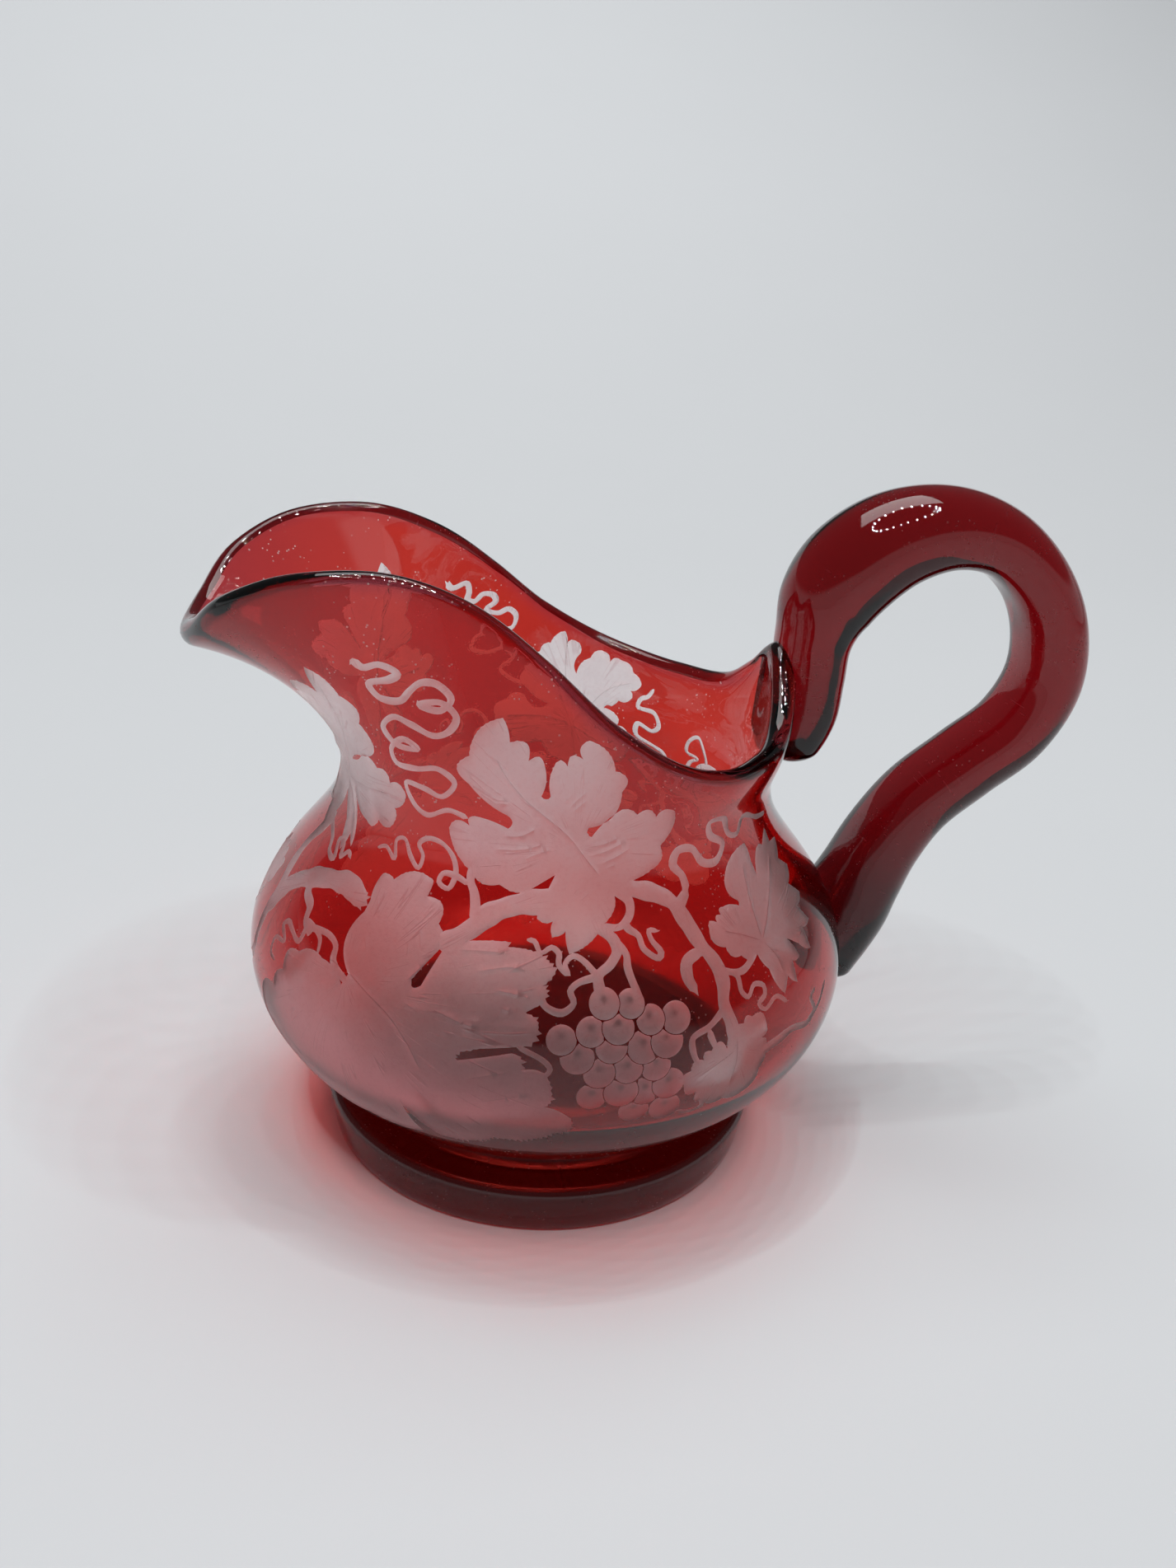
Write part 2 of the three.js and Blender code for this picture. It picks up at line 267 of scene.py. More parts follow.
class UnrolledWall:
    """The bowl's outer side laid flat: millimetres round the bowl at its mean radius, by millimetres up the wall."""

    mean_radius = 36.0
    half_width = mean_radius * math.pi
    rung = 1000.0

    def __init__(self, form: BowlForm, columns: int = 721, rows: int = 301) -> None:
        """Measures the wall.

        Args:
            form: the bowl's form.
            columns: outlines measured round the bowl.
            rows: points measured on each.
        """
        self.form = form
        self.turns = np.linspace(-math.pi, math.pi, columns)
        places = np.linspace(0, 3, rows)
        points = form.outer(self.turns[:, None], places[None])
        radii = np.hypot(points[..., 0], points[..., 1])
        steps = np.hypot(np.diff(radii, axis=1), np.diff(points[..., 2], axis=1))
        along = np.concatenate([np.zeros((columns, 1)), np.cumsum(steps, axis=1)], axis=1)
        self.rim = along[:, -1]
        self.rows = rows
        self.ladder = (along + self.rung * np.arange(columns)[:, None]).ravel()
        self.places = np.tile(places, columns)
        self.radii = radii.ravel()

    def read(self, turn: np.ndarray, along: np.ndarray, values: np.ndarray) -> np.ndarray:
        """Reads the places or the radii at points of the flat wall.

        Args:
            turn: turns from the lip, in radians.
            along: millimetres up the wall from the seat.
            values: self.places or self.radii.

        Returns:
            The values there.
        """
        column = (np.asarray(turn) + math.pi) / (2 * math.pi) * (len(self.turns) - 1)
        low = np.clip(column.astype(int), 0, len(self.turns) - 2)
        share = column - low
        out = 0.0
        for row, weight in ((low, 1 - share), (low + 1, share)):
            key = along + self.rung * row
            k = np.searchsorted(self.ladder, key, side="right") - 1
            k = np.clip(k, row * self.rows, row * self.rows + self.rows - 2)
            t = np.clip((key - self.ladder[k]) / (self.ladder[k + 1] - self.ladder[k]), 0, 1)
            out = out + weight * (values[k] + t * (values[k + 1] - values[k]))
        return out

    def stretch(self, flat: np.ndarray) -> np.ndarray:
        """How much wider the real wall is than the flat one, at flat points."""
        return self.read(flat[..., 0] / self.mean_radius, flat[..., 1], self.radii) / self.mean_radius

    def scale(self, flat: np.ndarray) -> np.ndarray:
        """Real millimetres in a flat one, round the bowl and up the wall, at flat points."""
        stretch = self.stretch(flat)[:, None]
        return np.concatenate([stretch, np.ones_like(stretch)], 1)

    def rim_at(self, turn: np.ndarray) -> np.ndarray:
        """Millimetres from the seat up to the rim."""
        return np.interp(turn, self.turns, self.rim)

    def flat(self, turn_degrees: float, along: float) -> np.ndarray:
        """A place given by degrees from the lip and millimetres up the wall, as a flat point."""
        return np.array([math.radians(turn_degrees) * self.mean_radius, along])


@dataclass(frozen=True)
class Corner:
    """A corner of an engraved outline, in millimetres right of and above the shape's heart, seen from outside.

    The edge to the next corner bulges outward by `swell` of its length, or inward where that is negative.
    """

    right: float
    up: float
    swell: float = 0.0


def corners(*triples: tuple[float, float, float]) -> tuple[Corner, ...]:
    """Corners from (right, up, swell) triples, clockwise."""
    return tuple(Corner(*triple) for triple in triples)


class LeafForm(Enum):
    """The vine leaves that the wheel cut, each clockwise from the tip of its first lobe."""

    MIDDLE = corners(
        (-8.9, 14.4, 0.08), (-8.0, 11.7, 0.45), (-5.8, 9.8, 0.45), (-3.9, 9.2, 0.10), (-4.2, 5.9, -0.30),
        (-3.1, 5.9, 0.10), (-2.9, 9.4, 0.45), (-1.4, 9.5, 0.45), (0.3, 10.4, 0.30), (0.9, 12.6, 0.16),
        (3.9, 9.2, 0.38), (4.8, 6.7, 0.22), (1.3, 2.4, -0.30), (1.7, 1.3, 0.06), (5.0, 4.6, 0.16),
        (6.8, 3.9, 0.36), (9.1, 3.5, 0.30), (11.3, 4.2, 0.16), (10.1, -0.4, 0.30), (9.1, -3.2, 0.10),
        (3.7, -4.2, 0.26), (3.4, -8.9, 0.10), (-0.6, -12.3, 0.05), (-1.0, -9.7, 0.12), (-2.5, -10.4, 0.12),
        (-2.4, -8.6, 0.20), (-4.2, -8.4, 0.10), (-3.4, -5.9, 0.0), (-2.2, -3.3, 0.0), (-5.6, -5.6, 0.10),
        (-8.6, -5.0, 0.20), (-12.2, -4.0, 0.12), (-15.0, 0.5, 0.30), (-12.4, 1.3, 0.35), (-11.8, 2.6, 0.05),
        (-7.8, 1.7, -0.35), (-8.0, 3.3, 0.06), (-12.6, 6.3, 0.45), (-12.6, 9.6, 0.18),
    )
    GREAT = corners(
        (-1.6, 9.4, 0.10), (-1.6, 12.8, 0.15), (0.3, 12.7, 0.20), (5.5, 14.1, 0.05), (5.5, 12.2, 0.30),
        (8.4, 9.5, 0.05), (10.2, 7.4, 0.0), (8.4, 2.6, -0.45), (9.8, 2.2, 0.0), (10.5, 7.6, 0.05),
        (17.4, 8.9, 0.10), (17.2, 8.3, 0.12), (23.8, 6.0, 0.10), (23.1, 4.3, 0.20), (24.0, 2.6, 0.05),
        (22.4, 1.2, 0.30), (24.3, -2.4, 0.0), (18.5, -3.4, 0.0), (16.4, -4.2, -0.30), (16.6, -5.1, 0.0),
        (22.5, -3.4, 0.30), (23.7, -5.3, 0.30), (27.6, -8.0, 0.20), (26.8, -9.8, 0.10), (29.8, -11.6, 0.25),
        (27.5, -14.2, 0.10), (20.0, -16.2, 0.10), (12.8, -18.6, 0.0), (9.5, -13.6, 0.0), (10.4, -18.8, 0.10),
        (2.0, -19.6, 0.12), (-8.0, -19.0, 0.12), (-15.5, -15.6, 0.20), (-17.6, -10.6, 0.25),
        (-13.2, -6.4, 0.22), (-11.3, -3.6, 0.35), (-9.0, -0.3, 0.15), (-4.6, 0.7, 0.12), (-0.3, -0.9, 0.0),
        (0.2, 0.6, 0.22), (-1.6, 7.9, 0.0),
    )
    SIDE = corners(
        (5.0, 12.1, 0.10), (5.6, 9.6, 0.05), (5.8, 7.8, 0.05), (7.6, 10.6, 0.15), (9.4, 10.4, 0.0),
        (11.2, 12.0, 0.10), (12.0, 9.9, 0.0), (14.6, 9.6, 0.10), (12.8, 7.4, 0.0), (14.8, 5.8, 0.12),
        (12.4, 4.2, 0.0), (14.4, 2.2, 0.12), (11.8, 1.4, 0.0), (13.4, -1.0, 0.12), (10.8, -1.0, 0.0),
        (10.9, -3.8, 0.10), (8.4, -2.2, 0.0), (6.3, -0.7, 0.05), (7.6, -3.4, 0.15), (5.8, -3.4, 0.0),
        (5.6, -6.0, 0.10), (4.0, -4.6, 0.0), (2.6, -6.4, 0.10),
        (1.0, -2.7, 0.10), (0.0, -0.2, 0.30), (-2.5, 0.1, 0.30), (-4.2, 1.6, 0.30), (-5.4, 4.2, 0.40),
        (-3.9, 4.7, 0.40), (-2.9, 5.4, 0.40), (-2.1, 6.2, 0.10), (0.4, 5.6, -0.30), (0.5, 6.3, 0.20),
        (-0.4, 9.0, 0.16),
    )
    LOW = corners(
        (-0.8, 3.0, 0.05), (1.6, 2.9, 0.40), (3.0, 3.3, 0.35), (5.2, 1.7, 0.35), (4.3, 0.3, 0.30),
        (5.1, -1.2, 0.15), (4.2, -3.8, 0.20), (2.4, -6.6, 0.15), (-1.0, -6.4, 0.20), (-4.0, -5.8, 0.35),
        (-5.2, -4.1, 0.35), (-7.0, -2.7, 0.40), (-6.2, -1.0, 0.35), (-4.5, 0.0, 0.40), (-3.4, 0.9, 0.45),
        (-1.2, 0.6, 0.0),
    )
    SPOUT = corners(
        (7.6, 17.1, 0.10), (9.2, 12.8, 0.30), (9.9, 9.0, 0.40), (7.6, 4.1, 0.10), (4.6, 2.6, 0.10),
        (7.6, 4.0, 0.25), (10.4, 3.3, 0.35), (12.4, 2.0, 0.30), (14.9, 1.3, 0.15), (12.9, -1.0, 0.15),
        (13.0, -2.4, 0.30), (10.0, -3.5, 0.30), (7.7, -4.4, 0.15), (3.6, -1.4, 0.0), (6.2, -6.4, 0.05),
        (6.9, -8.4, 0.05), (5.4, -7.0, 0.05), (5.2, -9.6, 0.05), (3.0, -6.0, 0.05), (1.0, -2.8, 0.05),
        (-1.2, -7.0, 0.10), (-2.8, -9.4, 0.10), (-4.8, -6.6, 0.30), (-7.4, -5.2, 0.35), (-8.8, -2.4, 0.25),
        (-6.0, 1.0, 0.0), (-3.4, 1.6, 0.0), (-8.6, 2.6, 0.30), (-9.8, 6.2, 0.35), (-7.2, 9.4, 0.30),
        (-4.4, 11.0, 0.20), (-1.0, 8.2, 0.0), (0.2, 5.0, 0.05), (-0.6, 9.4, 0.30), (1.4, 12.2, 0.30),
        (4.6, 14.4, 0.10), (6.0, 12.8, 0.05),
    )
    ACROSS = corners(
        (-9.3, 6.4, 0.12), (-7.7, 7.9, 0.22), (-5.8, 9.5, 0.28), (-3.9, 9.0, 0.10), (-3.5, 10.3, 0.28),
        (-0.8, 9.3, 0.16), (1.1, 6.8, -0.20), (0.8, 9.9, 0.22), (1.8, 11.8, 0.32), (3.0, 11.2, 0.10),
        (3.5, 13.3, 0.16), (5.5, 11.6, 0.28), (7.0, 10.3, 0.30), (8.8, 8.0, 0.30), (8.4, 5.0, 0.10),
        (4.4, 2.6, -0.30), (8.6, 3.8, 0.25), (11.6, 3.0, 0.30), (13.6, 0.2, 0.20), (11.2, -2.4, 0.30),
        (8.8, -4.8, 0.20), (5.2, -3.6, 0.20), (5.4, -7.0, 0.20), (3.0, -9.6, 0.15), (1.2, -12.4, 0.15),
        (-0.6, -9.8, 0.25), (-2.8, -8.2, 0.20), (-2.8, -4.8, 0.10), (-5.6, -6.0, 0.25), (-8.2, -5.2, 0.25),
        (-7.6, -2.4, 0.20), (-7.4, -0.9, 0.20), (-5.8, -0.4, 0.25), (-5.5, 1.5, 0.10), (-3.6, 2.2, -0.25),
        (-4.8, 2.6, 0.05), (-5.9, 3.6, 0.20), (-8.0, 4.3, 0.20), (-7.6, 5.2, 0.20),
    )


@dataclass(frozen=True)
class LeafPlace:
    """A leaf on the bowl: its form, the place of its heart, its turn about that place, and its share of full size."""

    form: LeafForm
    turn: float
    along: float
    spin: float = 0.0
    size: float = 1.0
    mirrored: bool = False
    veins: tuple[tuple[Place, ...], ...] = ()
    strokes: tuple[tuple[Place, ...], ...] = ()


@dataclass(frozen=True)
class Stem:
    """A stem or tendril: its places as (degrees from the lip, millimetres up the wall), and its widths."""

    places: tuple[Place, ...]
    width: float
    end_width: float


@dataclass(frozen=True)
class Cluster:
    """A bunch of grapes: the middle of each, as (degrees from the lip, millimetres up the wall)."""

    places: tuple[Place, ...]
    radius: float = 1.86
    parting: float = 0.10


MIDDLE_VEINS = (
    ((-9.6, 9.8), (-8.4, 7.8), (-6.2, 5.4), (-4.4, 4.0), (-2.4, 2.5), (-0.7, 1.0), (1.4, -1.7), (3.0, -3.5)),
)
MIDDLE_STROKES = (
    ((-8.5, 0.7), (-6.4, 0.9), (-4.4, 2.1)), ((-9.2, -1.1), (-5.9, -0.7), (-3.2, 0.4)),
    ((-5.9, -1.9), (-4.3, -1.1), (-2.6, -0.4)), ((-1.1, 4.5), (-0.1, 5.6), (1.0, 6.7)),
    ((-0.7, 4.1), (0.2, 4.9), (1.0, 5.7)), ((-1.6, 5.2), (-0.8, 6.3)),
    ((1.2, 0.0), (3.2, 0.3), (5.3, 1.2)), ((1.7, -1.1), (3.8, -0.5), (6.4, 0.8)),
    ((3.0, -2.1), (5.1, -1.2), (6.6, -0.3)), ((3.6, -2.6), (5.1, -2.2)),
    ((-1.4, -5.5), (-0.6, -4.1)), ((-0.5, -6.0), (0.8, -4.5)), ((0.4, -6.5), (2.2, -5.0)),
    ((-10.4, 5.1), (-8.9, 4.9), (-7.5, 5.0)), ((-9.7, 4.5), (-7.7, 4.6)), ((-9.9, 5.8), (-8.4, 5.7)),
)
GREAT_VEINS = (
    ((-6.4, 1.1), (-0.5, 0.8), (3.7, -0.7), (7.3, -2.3), (10.2, -4.7), (12.4, -7.6)),
)
GREAT_STROKES = (
    ((7.7, 2.2), (9.2, 5.0)), ((12.0, 7.2), (15.8, 7.6), (18.3, 7.6)), ((15.0, 5.1), (18.5, 6.1), (21.0, 5.9)),
    ((17.8, 3.4), (20.9, 3.1), (22.8, 2.7)), ((19.2, 1.5), (21.4, 1.1)), ((6.2, 8.6), (7.8, 6.1)),
    ((5.7, 6.8), (6.7, 4.4)), ((12.4, -0.1), (15.4, -0.8), (18.7, -1.3)), ((8.1, 0.0), (10.7, -0.8)),
    ((17.6, -7.4), (20.9, -6.3), (22.8, -5.8)), ((19.0, -10.4), (23.0, -9.1), (25.8, -8.4)),
    ((12.6, -6.5), (14.8, -7.2)), ((-1.4, 10.6), (0.6, 8.0)), ((-0.2, 5.6), (1.2, 3.6)),
)
SIDE_VEINS = (
    ((2.0, 0.6), (2.8, 5.0), (4.0, 10.0)),
    ((2.0, 0.6), (6.5, 4.4), (11.0, 8.6)),
    ((2.0, 0.6), (-1.0, 2.4), (-3.6, 3.6)),
    ((2.0, 0.6), (3.4, -1.8), (3.6, -4.4)),
)
LOW_VEINS = (
    ((0.6, 1.6), (0.4, -2.0), (-0.4, -5.0)),
    ((0.4, 0.0), (-2.6, -1.2), (-5.4, -2.4)),
)
SPOUT_VEINS = (
    ((1.0, -1.0), (5.0, 7.0), (7.2, 14.0)),
    ((1.0, -1.0), (7.0, -0.4), (12.0, 0.4)),
    ((1.0, -1.0), (4.0, -4.6), (5.8, -7.2)),
    ((1.0, -1.0), (-3.0, 4.0), (-6.4, 7.0)),
)
ACROSS_VEINS = (
    ((3.2, 12.0), (2.6, 6.0), (0.4, 0.0), (0.6, -9.0)),
    ((0.4, 0.0), (-3.6, 4.6), (-8.0, 6.4)),
    ((0.4, 0.0), (5.0, 0.6), (12.0, 0.6)),
    ((0.4, 0.0), (-3.0, -1.4), (-7.0, -3.4)),
)

LEAVES = (
    LeafPlace(LeafForm.MIDDLE, -85.0, 55.1, veins=MIDDLE_VEINS, strokes=MIDDLE_STROKES),
    LeafPlace(LeafForm.GREAT, -42.0, 34.8, veins=GREAT_VEINS, strokes=GREAT_STROKES),
    LeafPlace(LeafForm.SIDE, -124.2, 39.5, veins=SIDE_VEINS),
    LeafPlace(LeafForm.LOW, -114.2, 29.1, veins=LOW_VEINS),
    LeafPlace(LeafForm.SPOUT, -11.8, 56.7, veins=SPOUT_VEINS),
    LeafPlace(LeafForm.ACROSS, 107.0, 51.0, veins=ACROSS_VEINS),
    LeafPlace(LeafForm.GREAT, 64.0, 33.6, -6.0, 0.9, True, GREAT_VEINS, GREAT_STROKES),
    LeafPlace(LeafForm.SIDE, 143.0, 37.6, 6.0, 0.95, True, SIDE_VEINS[:2]),
    LeafPlace(LeafForm.LOW, 135.0, 26.6, -12.0, 1.05, True),
    LeafPlace(LeafForm.SPOUT, 29.6, 60.4, 0.0, 0.92, True, SPOUT_VEINS[:2]),
    LeafPlace(LeafForm.LOW, 12.0, 37.4, 24.0, 1.25, True),
)

STEMS = (
    Stem(((-33.5, 74.8), (-35.0, 73.7), (-38.2, 74.1), (-41.8, 73.1), (-39.8, 72.3), (-35.5, 71.6), (-37.0, 70.0),
          (-42.0, 69.9), (-44.2, 71.2), (-46.5, 72.3), (-50.0, 72.4), (-53.5, 70.8), (-51.2, 69.4), (-46.5, 69.7),
          (-51.2, 70.3), (-55.0, 68.8), (-53.8, 67.3), (-50.0, 66.3), (-44.0, 67.2), (-39.8, 67.7), (-36.8, 66.1),
          (-39.4, 64.3), (-45.8, 64.3), (-41.8, 65.1), (-38.2, 63.4), (-39.2, 61.9), (-45.2, 61.8), (-51.2, 62.4),
          (-55.5, 61.1), (-52.5, 59.2), (-47.5, 59.6), (-42.0, 59.6), (-44.2, 57.4), (-48.2, 56.4), (-54.2, 57.7),
          (-59.0, 57.3)), 0.9, 0.62),
    Stem(((-34.2, 50.1), (-36.8, 50.7), (-40.5, 49.8), (-39.5, 51.9), (-42.0, 52.5), (-44.8, 50.8), (-47.8, 49.8),
          (-48.2, 51.3), (-46.5, 52.5), (-48.8, 53.5), (-53.0, 53.4), (-56.2, 52.1), (-57.5, 50.3), (-56.6, 48.5),
          (-53.9, 49.0), (-54.4, 50.0), (-57.7, 50.1), (-61.0, 49.5)), 0.5, 0.7),
    Stem(((-61.3, 51.6), (-61.3, 50.0), (-62.8, 48.6), (-64.5, 45.4)), 0.9, 1.4),
    Stem(((-9.8, 28.6), (-10.0, 34.8), (-9.5, 38.0), (-6.5, 41.7), (-6.0, 44.6), (-10.5, 49.8)), 1.7, 1.9),
    Stem(((-10.6, 34.6), (-12.5, 39.0), (-18.0, 41.9), (-25.0, 43.7), (-31.3, 44.5), (-38.0, 43.5)), 2.6, 2.8),
    Stem(((-19.6, 42.0), (-21.0, 40.6), (-24.5, 39.6), (-25.8, 38.0), (-29.2, 37.0)), 1.3, 1.0),
    Stem(((-58.0, 42.0), (-60.5, 43.0), (-63.8, 44.5), (-67.2, 46.6), (-71.8, 47.9), (-77.0, 48.6), (-84.0, 49.3)),
         2.3, 2.8),
    Stem(((-90.5, 51.6), (-97.0, 50.2), (-103.0, 49.3), (-107.5, 47.8), (-109.8, 45.2), (-111.5, 42.4),
          (-113.5, 39.9), (-114.0, 37.6), (-113.0, 35.0), (-113.8, 32.6), (-114.4, 29.8)), 2.2, 1.7),
    Stem(((-111.0, 41.6), (-107.5, 40.7), (-106.8, 38.9), (-107.8, 37.2)), 1.3, 1.5),
    Stem(((-112.0, 48.8), (-111.5, 50.5), (-109.2, 52.1), (-110.5, 53.6), (-114.8, 53.5), (-118.0, 51.5),
          (-122.5, 51.2), (-125.2, 52.9), (-120.5, 54.6), (-119.5, 56.4), (-124.5, 56.3), (-127.7, 53.8),
          (-131.5, 53.4), (-133.2, 55.2), (-142.0, 53.8), (-148.5, 53.2)), 1.1, 0.6),
    Stem(((-108.6, 47.0), (-112.0, 48.8)), 1.4, 1.1),
    Stem(((-116.0, 38.4), (-117.5, 37.6), (-117.5, 35.6), (-118.7, 34.8), (-120.8, 35.9), (-123.0, 35.3),
          (-122.8, 34.3), (-120.8, 33.5), (-122.0, 32.6), (-125.5, 33.4), (-128.2, 32.1)), 0.7, 0.55),
    Stem(((-113.6, 38.9), (-115.2, 38.5), (-119.0, 37.9), (-124.8, 39.6)), 1.0, 0.7),
    Stem(((-113.2, 34.6), (-109.2, 32.9), (-105.8, 32.0), (-105.8, 30.1), (-107.0, 28.4)), 0.9, 0.7),
    Stem(((-109.0, 32.4), (-110.2, 30.3), (-113.0, 28.3)), 0.8, 0.6),
    Stem(((-120.5, 27.6), (-125.2, 28.0), (-129.2, 28.3), (-134.5, 27.5), (-137.2, 28.5), (-136.0, 30.4),
          (-138.2, 31.1)), 1.3, 0.6),
    Stem(((-134.5, 27.7), (-139.0, 28.6), (-143.0, 30.6)), 0.8, 0.5),
    Stem(((-95.6, 46.2), (-96.5, 45.4), (-98.3, 44.6), (-99.0, 43.0), (-101.8, 41.7), (-102.5, 42.3),
          (-101.0, 43.9), (-100.8, 45.0), (-102.8, 44.8)), 0.9, 0.6),
    Stem(((-93.0, 51.4), (-94.0, 50.0), (-97.2, 48.7), (-97.2, 47.2), (-94.8, 45.8), (-91.0, 45.8)), 1.1, 0.9),
    Stem(((-88.6, 46.6), (-89.8, 45.8), (-92.8, 44.5), (-93.5, 43.1), (-91.8, 41.5), (-89.5, 40.3),
          (-89.9, 37.4)), 1.2, 1.2),
    Stem(((-93.2, 44.2), (-95.2, 42.6), (-95.2, 40.9), (-97.0, 36.9)), 1.0, 0.8),
    Stem(((-90.0, 40.6), (-89.2, 40.5), (-86.8, 42.0), (-84.8, 42.6), (-83.2, 41.7), (-83.8, 40.5), (-82.0, 41.6),
          (-82.0, 42.8), (-80.5, 43.5), (-78.5, 42.8), (-77.0, 44.1), (-75.5, 44.2)), 0.7, 0.6),
    Stem(((-89.6, 40.3), (-85.5, 39.5), (-84.2, 38.6), (-84.8, 37.3), (-82.8, 36.2), (-80.2, 36.7),
          (-78.6, 37.9)), 0.8, 0.8),
    Stem(((-75.6, 32.2), (-77.0, 31.8), (-80.0, 30.8), (-81.2, 29.8), (-79.8, 28.7), (-76.8, 28.7)), 0.6, 0.6),
    Stem(((-27.2, 38.4), (-27.2, 37.3), (-27.0, 35.4), (-23.5, 35.9), (-21.0, 36.3), (-19.8, 35.6), (-22.8, 34.1),
          (-19.2, 33.5), (-19.5, 31.5), (-21.8, 31.2)), 0.8, 0.5),
    Stem(((-25.8, 38.1), (-28.8, 38.0), (-32.2, 37.3), (-33.5, 35.6)), 0.7, 0.6),
    Stem(((-28.6, 37.8), (-33.8, 38.3), (-36.8, 37.6), (-37.8, 35.9), (-42.6, 34.4)), 0.8, 0.9),
    Stem(((-10.6, 48.9), (-16.0, 47.4), (-18.0, 46.1), (-21.5, 45.8), (-19.2, 48.1), (-21.8, 48.2), (-23.5, 46.6),
          (-25.2, 47.7), (-27.0, 47.2)), 0.8, 0.6),
    Stem(((-109.0, 25.4), (-108.0, 23.9), (-108.5, 22.5), (-106.0, 22.1), (-103.5, 22.6)), 0.7, 0.5),
)

NEAR_SIDE_ONLY = (0, 9, 10)

ACROSS_STEMS = (
    Stem(((60.3, 72.8), (62.0, 72.1), (66.8, 72.8), (67.8, 71.4), (67.5, 70.3), (70.0, 70.0), (72.5, 71.1),
          (76.2, 70.8), (77.0, 69.9), (74.2, 68.7), (78.2, 68.0), (81.5, 68.5), (84.2, 67.3), (83.5, 65.6),
          (78.0, 65.2), (72.0, 64.6), (70.5, 62.8), (76.0, 62.0), (82.0, 62.6), (85.0, 61.0), (81.0, 59.2),
          (85.0, 57.4), (92.0, 56.4)), 0.9, 0.62),
    Stem(((130.0, 57.1), (128.5, 55.9), (126.3, 55.4), (125.5, 54.3), (131.5, 53.8), (133.0, 52.1), (130.5, 51.0),
          (125.5, 51.7), (124.8, 49.8), (130.5, 48.2), (133.0, 47.4), (133.4, 45.0), (130.6, 42.6)), 0.6, 0.9),
    Stem(((138.5, 44.1), (143.2, 47.5), (146.8, 48.8), (142.8, 49.3), (144.5, 51.3), (149.0, 52.4), (150.8, 49.7),
          (149.2, 46.4), (153.0, 44.0)), 0.6, 0.6),
    Stem(((-9.8, 28.6), (-4.0, 25.4), (6.0, 23.8), (17.0, 24.4), (26.0, 26.6), (31.3, 29.6)), 1.7, 1.9),
    Stem(((8.0, 24.2), (9.0, 27.6), (11.0, 31.0), (12.0, 35.0)), 1.2, 0.9),
    Stem(((18.0, 24.8), (21.0, 27.8), (19.0, 30.2), (22.5, 32.4), (20.0, 34.6), (23.5, 36.4)), 0.8, 0.5),
)


def over_to_far_side(stem: Stem, shift: float = 22.0, squeeze: float = 0.97, drop: float = 1.0) -> Stem:
    """A stem of the near side, mirrored and moved on round the bowl, as the engraver repeated it on the far side."""
    places = tuple((shift - turn * squeeze, along - drop) for turn, along in stem.places)
    return Stem(places, stem.width, stem.end_width)


CLUSTERS = (
    Cluster(((-90.2, 37.2), (-95.0, 37.0), (-98.3, 35.0), (-103.0, 34.8), (-101.0, 32.3), (-92.5, 34.4),
             (-87.8, 34.1), (-82.8, 33.2), (-91.2, 32.3), (-96.8, 32.0), (-85.5, 31.2), (-89.2, 29.3),
             (-94.0, 29.6), (-98.8, 29.6), (-101.2, 27.1), (-93.0, 26.8), (-97.2, 26.6), (-88.2, 26.4),
             (-95.5, 24.0), (-101.0, 23.8))),
    Cluster(((108.0, 36.2), (112.6, 36.4), (116.4, 34.4), (120.6, 33.8), (118.8, 31.4), (110.6, 33.6),
             (106.0, 33.4), (101.4, 32.6), (109.4, 30.8), (114.2, 31.2), (104.0, 30.4), (107.6, 28.2),
             (112.0, 28.4), (116.8, 28.4), (111.4, 25.6), (106.6, 25.4), (116.0, 25.6), (111.0, 22.8))),
)


class MarkKind(Enum):
    """What a mark of the wheel is."""

    LEAF = "leaf"
    STEM = "stem"
    GRAPE = "grape"
    VEIN = "vein"


@dataclass
class Mark:
    """A mark of the wheel on the flat wall: its closed outline, its middle line, half the width along that, and how
    hard the wheel pressed."""

    kind: MarkKind
    outline: np.ndarray
    middle: np.ndarray
    half_width: np.ndarray
    press: float = 1.0
    eye_rise: float = 0.25

    def near(self, points: np.ndarray, margin: float) -> np.ndarray:
        """Which flat points lie in the box of the outline, with a margin round it."""
        return np.all((points > self.outline.min(0) - margin) & (points < self.outline.max(0) + margin), axis=1)

    @property
    def eye(self) -> np.ndarray:
        """The middle of a grape's eye, a little above its own."""
        return self.middle[0] + np.array([0, self.eye_rise * self.half_width[0]])


def smooth_curve(points: np.ndarray, at: np.ndarray) -> np.ndarray:
    """A centripetal curve through points.

    Args:
        points: the points that it goes through.
        at: where to read it, counted in points.

    Returns:
        The places there.
    """
    ends = np.concatenate([[2 * points[0] - points[1]], points, [2 * points[-1] - points[-2]]])
    left = np.clip(at.astype(int), 0, len(points) - 2)
    p0, p1, p2, p3 = (ends[left + k] for k in range(4))
    before, here, after = (np.linalg.norm(b - a, axis=1)[:, None] ** 0.5 for a, b in ((p0, p1), (p1, p2), (p2, p3)))
    leave = ((p1 - p0) / before - (p2 - p0) / (before + here) + (p2 - p1) / here) * here
    arrive = ((p2 - p1) / here - (p3 - p1) / (here + after) + (p3 - p2) / after) * here
    t = (at - left)[:, None]
    t2, t3 = t**2, t**3
    return (2 * t3 - 3 * t2 + 1) * p1 + (t3 - 2 * t2 + t) * leave + (3 * t2 - 2 * t3) * p2 + (t3 - t2) * arrive


def smooth_path(points: np.ndarray, step: float) -> np.ndarray:
    """Places along the centripetal curve through points, those points among them, about a step apart."""
    lengths = np.linalg.norm(np.diff(points, axis=0), axis=1)
    counts = np.maximum(1, (lengths / step + 0.5).astype(int))
    at = [number + np.arange(count) / count for number, count in enumerate(counts)]
    return smooth_curve(points, np.concatenate([*at, [len(points) - 1]]))


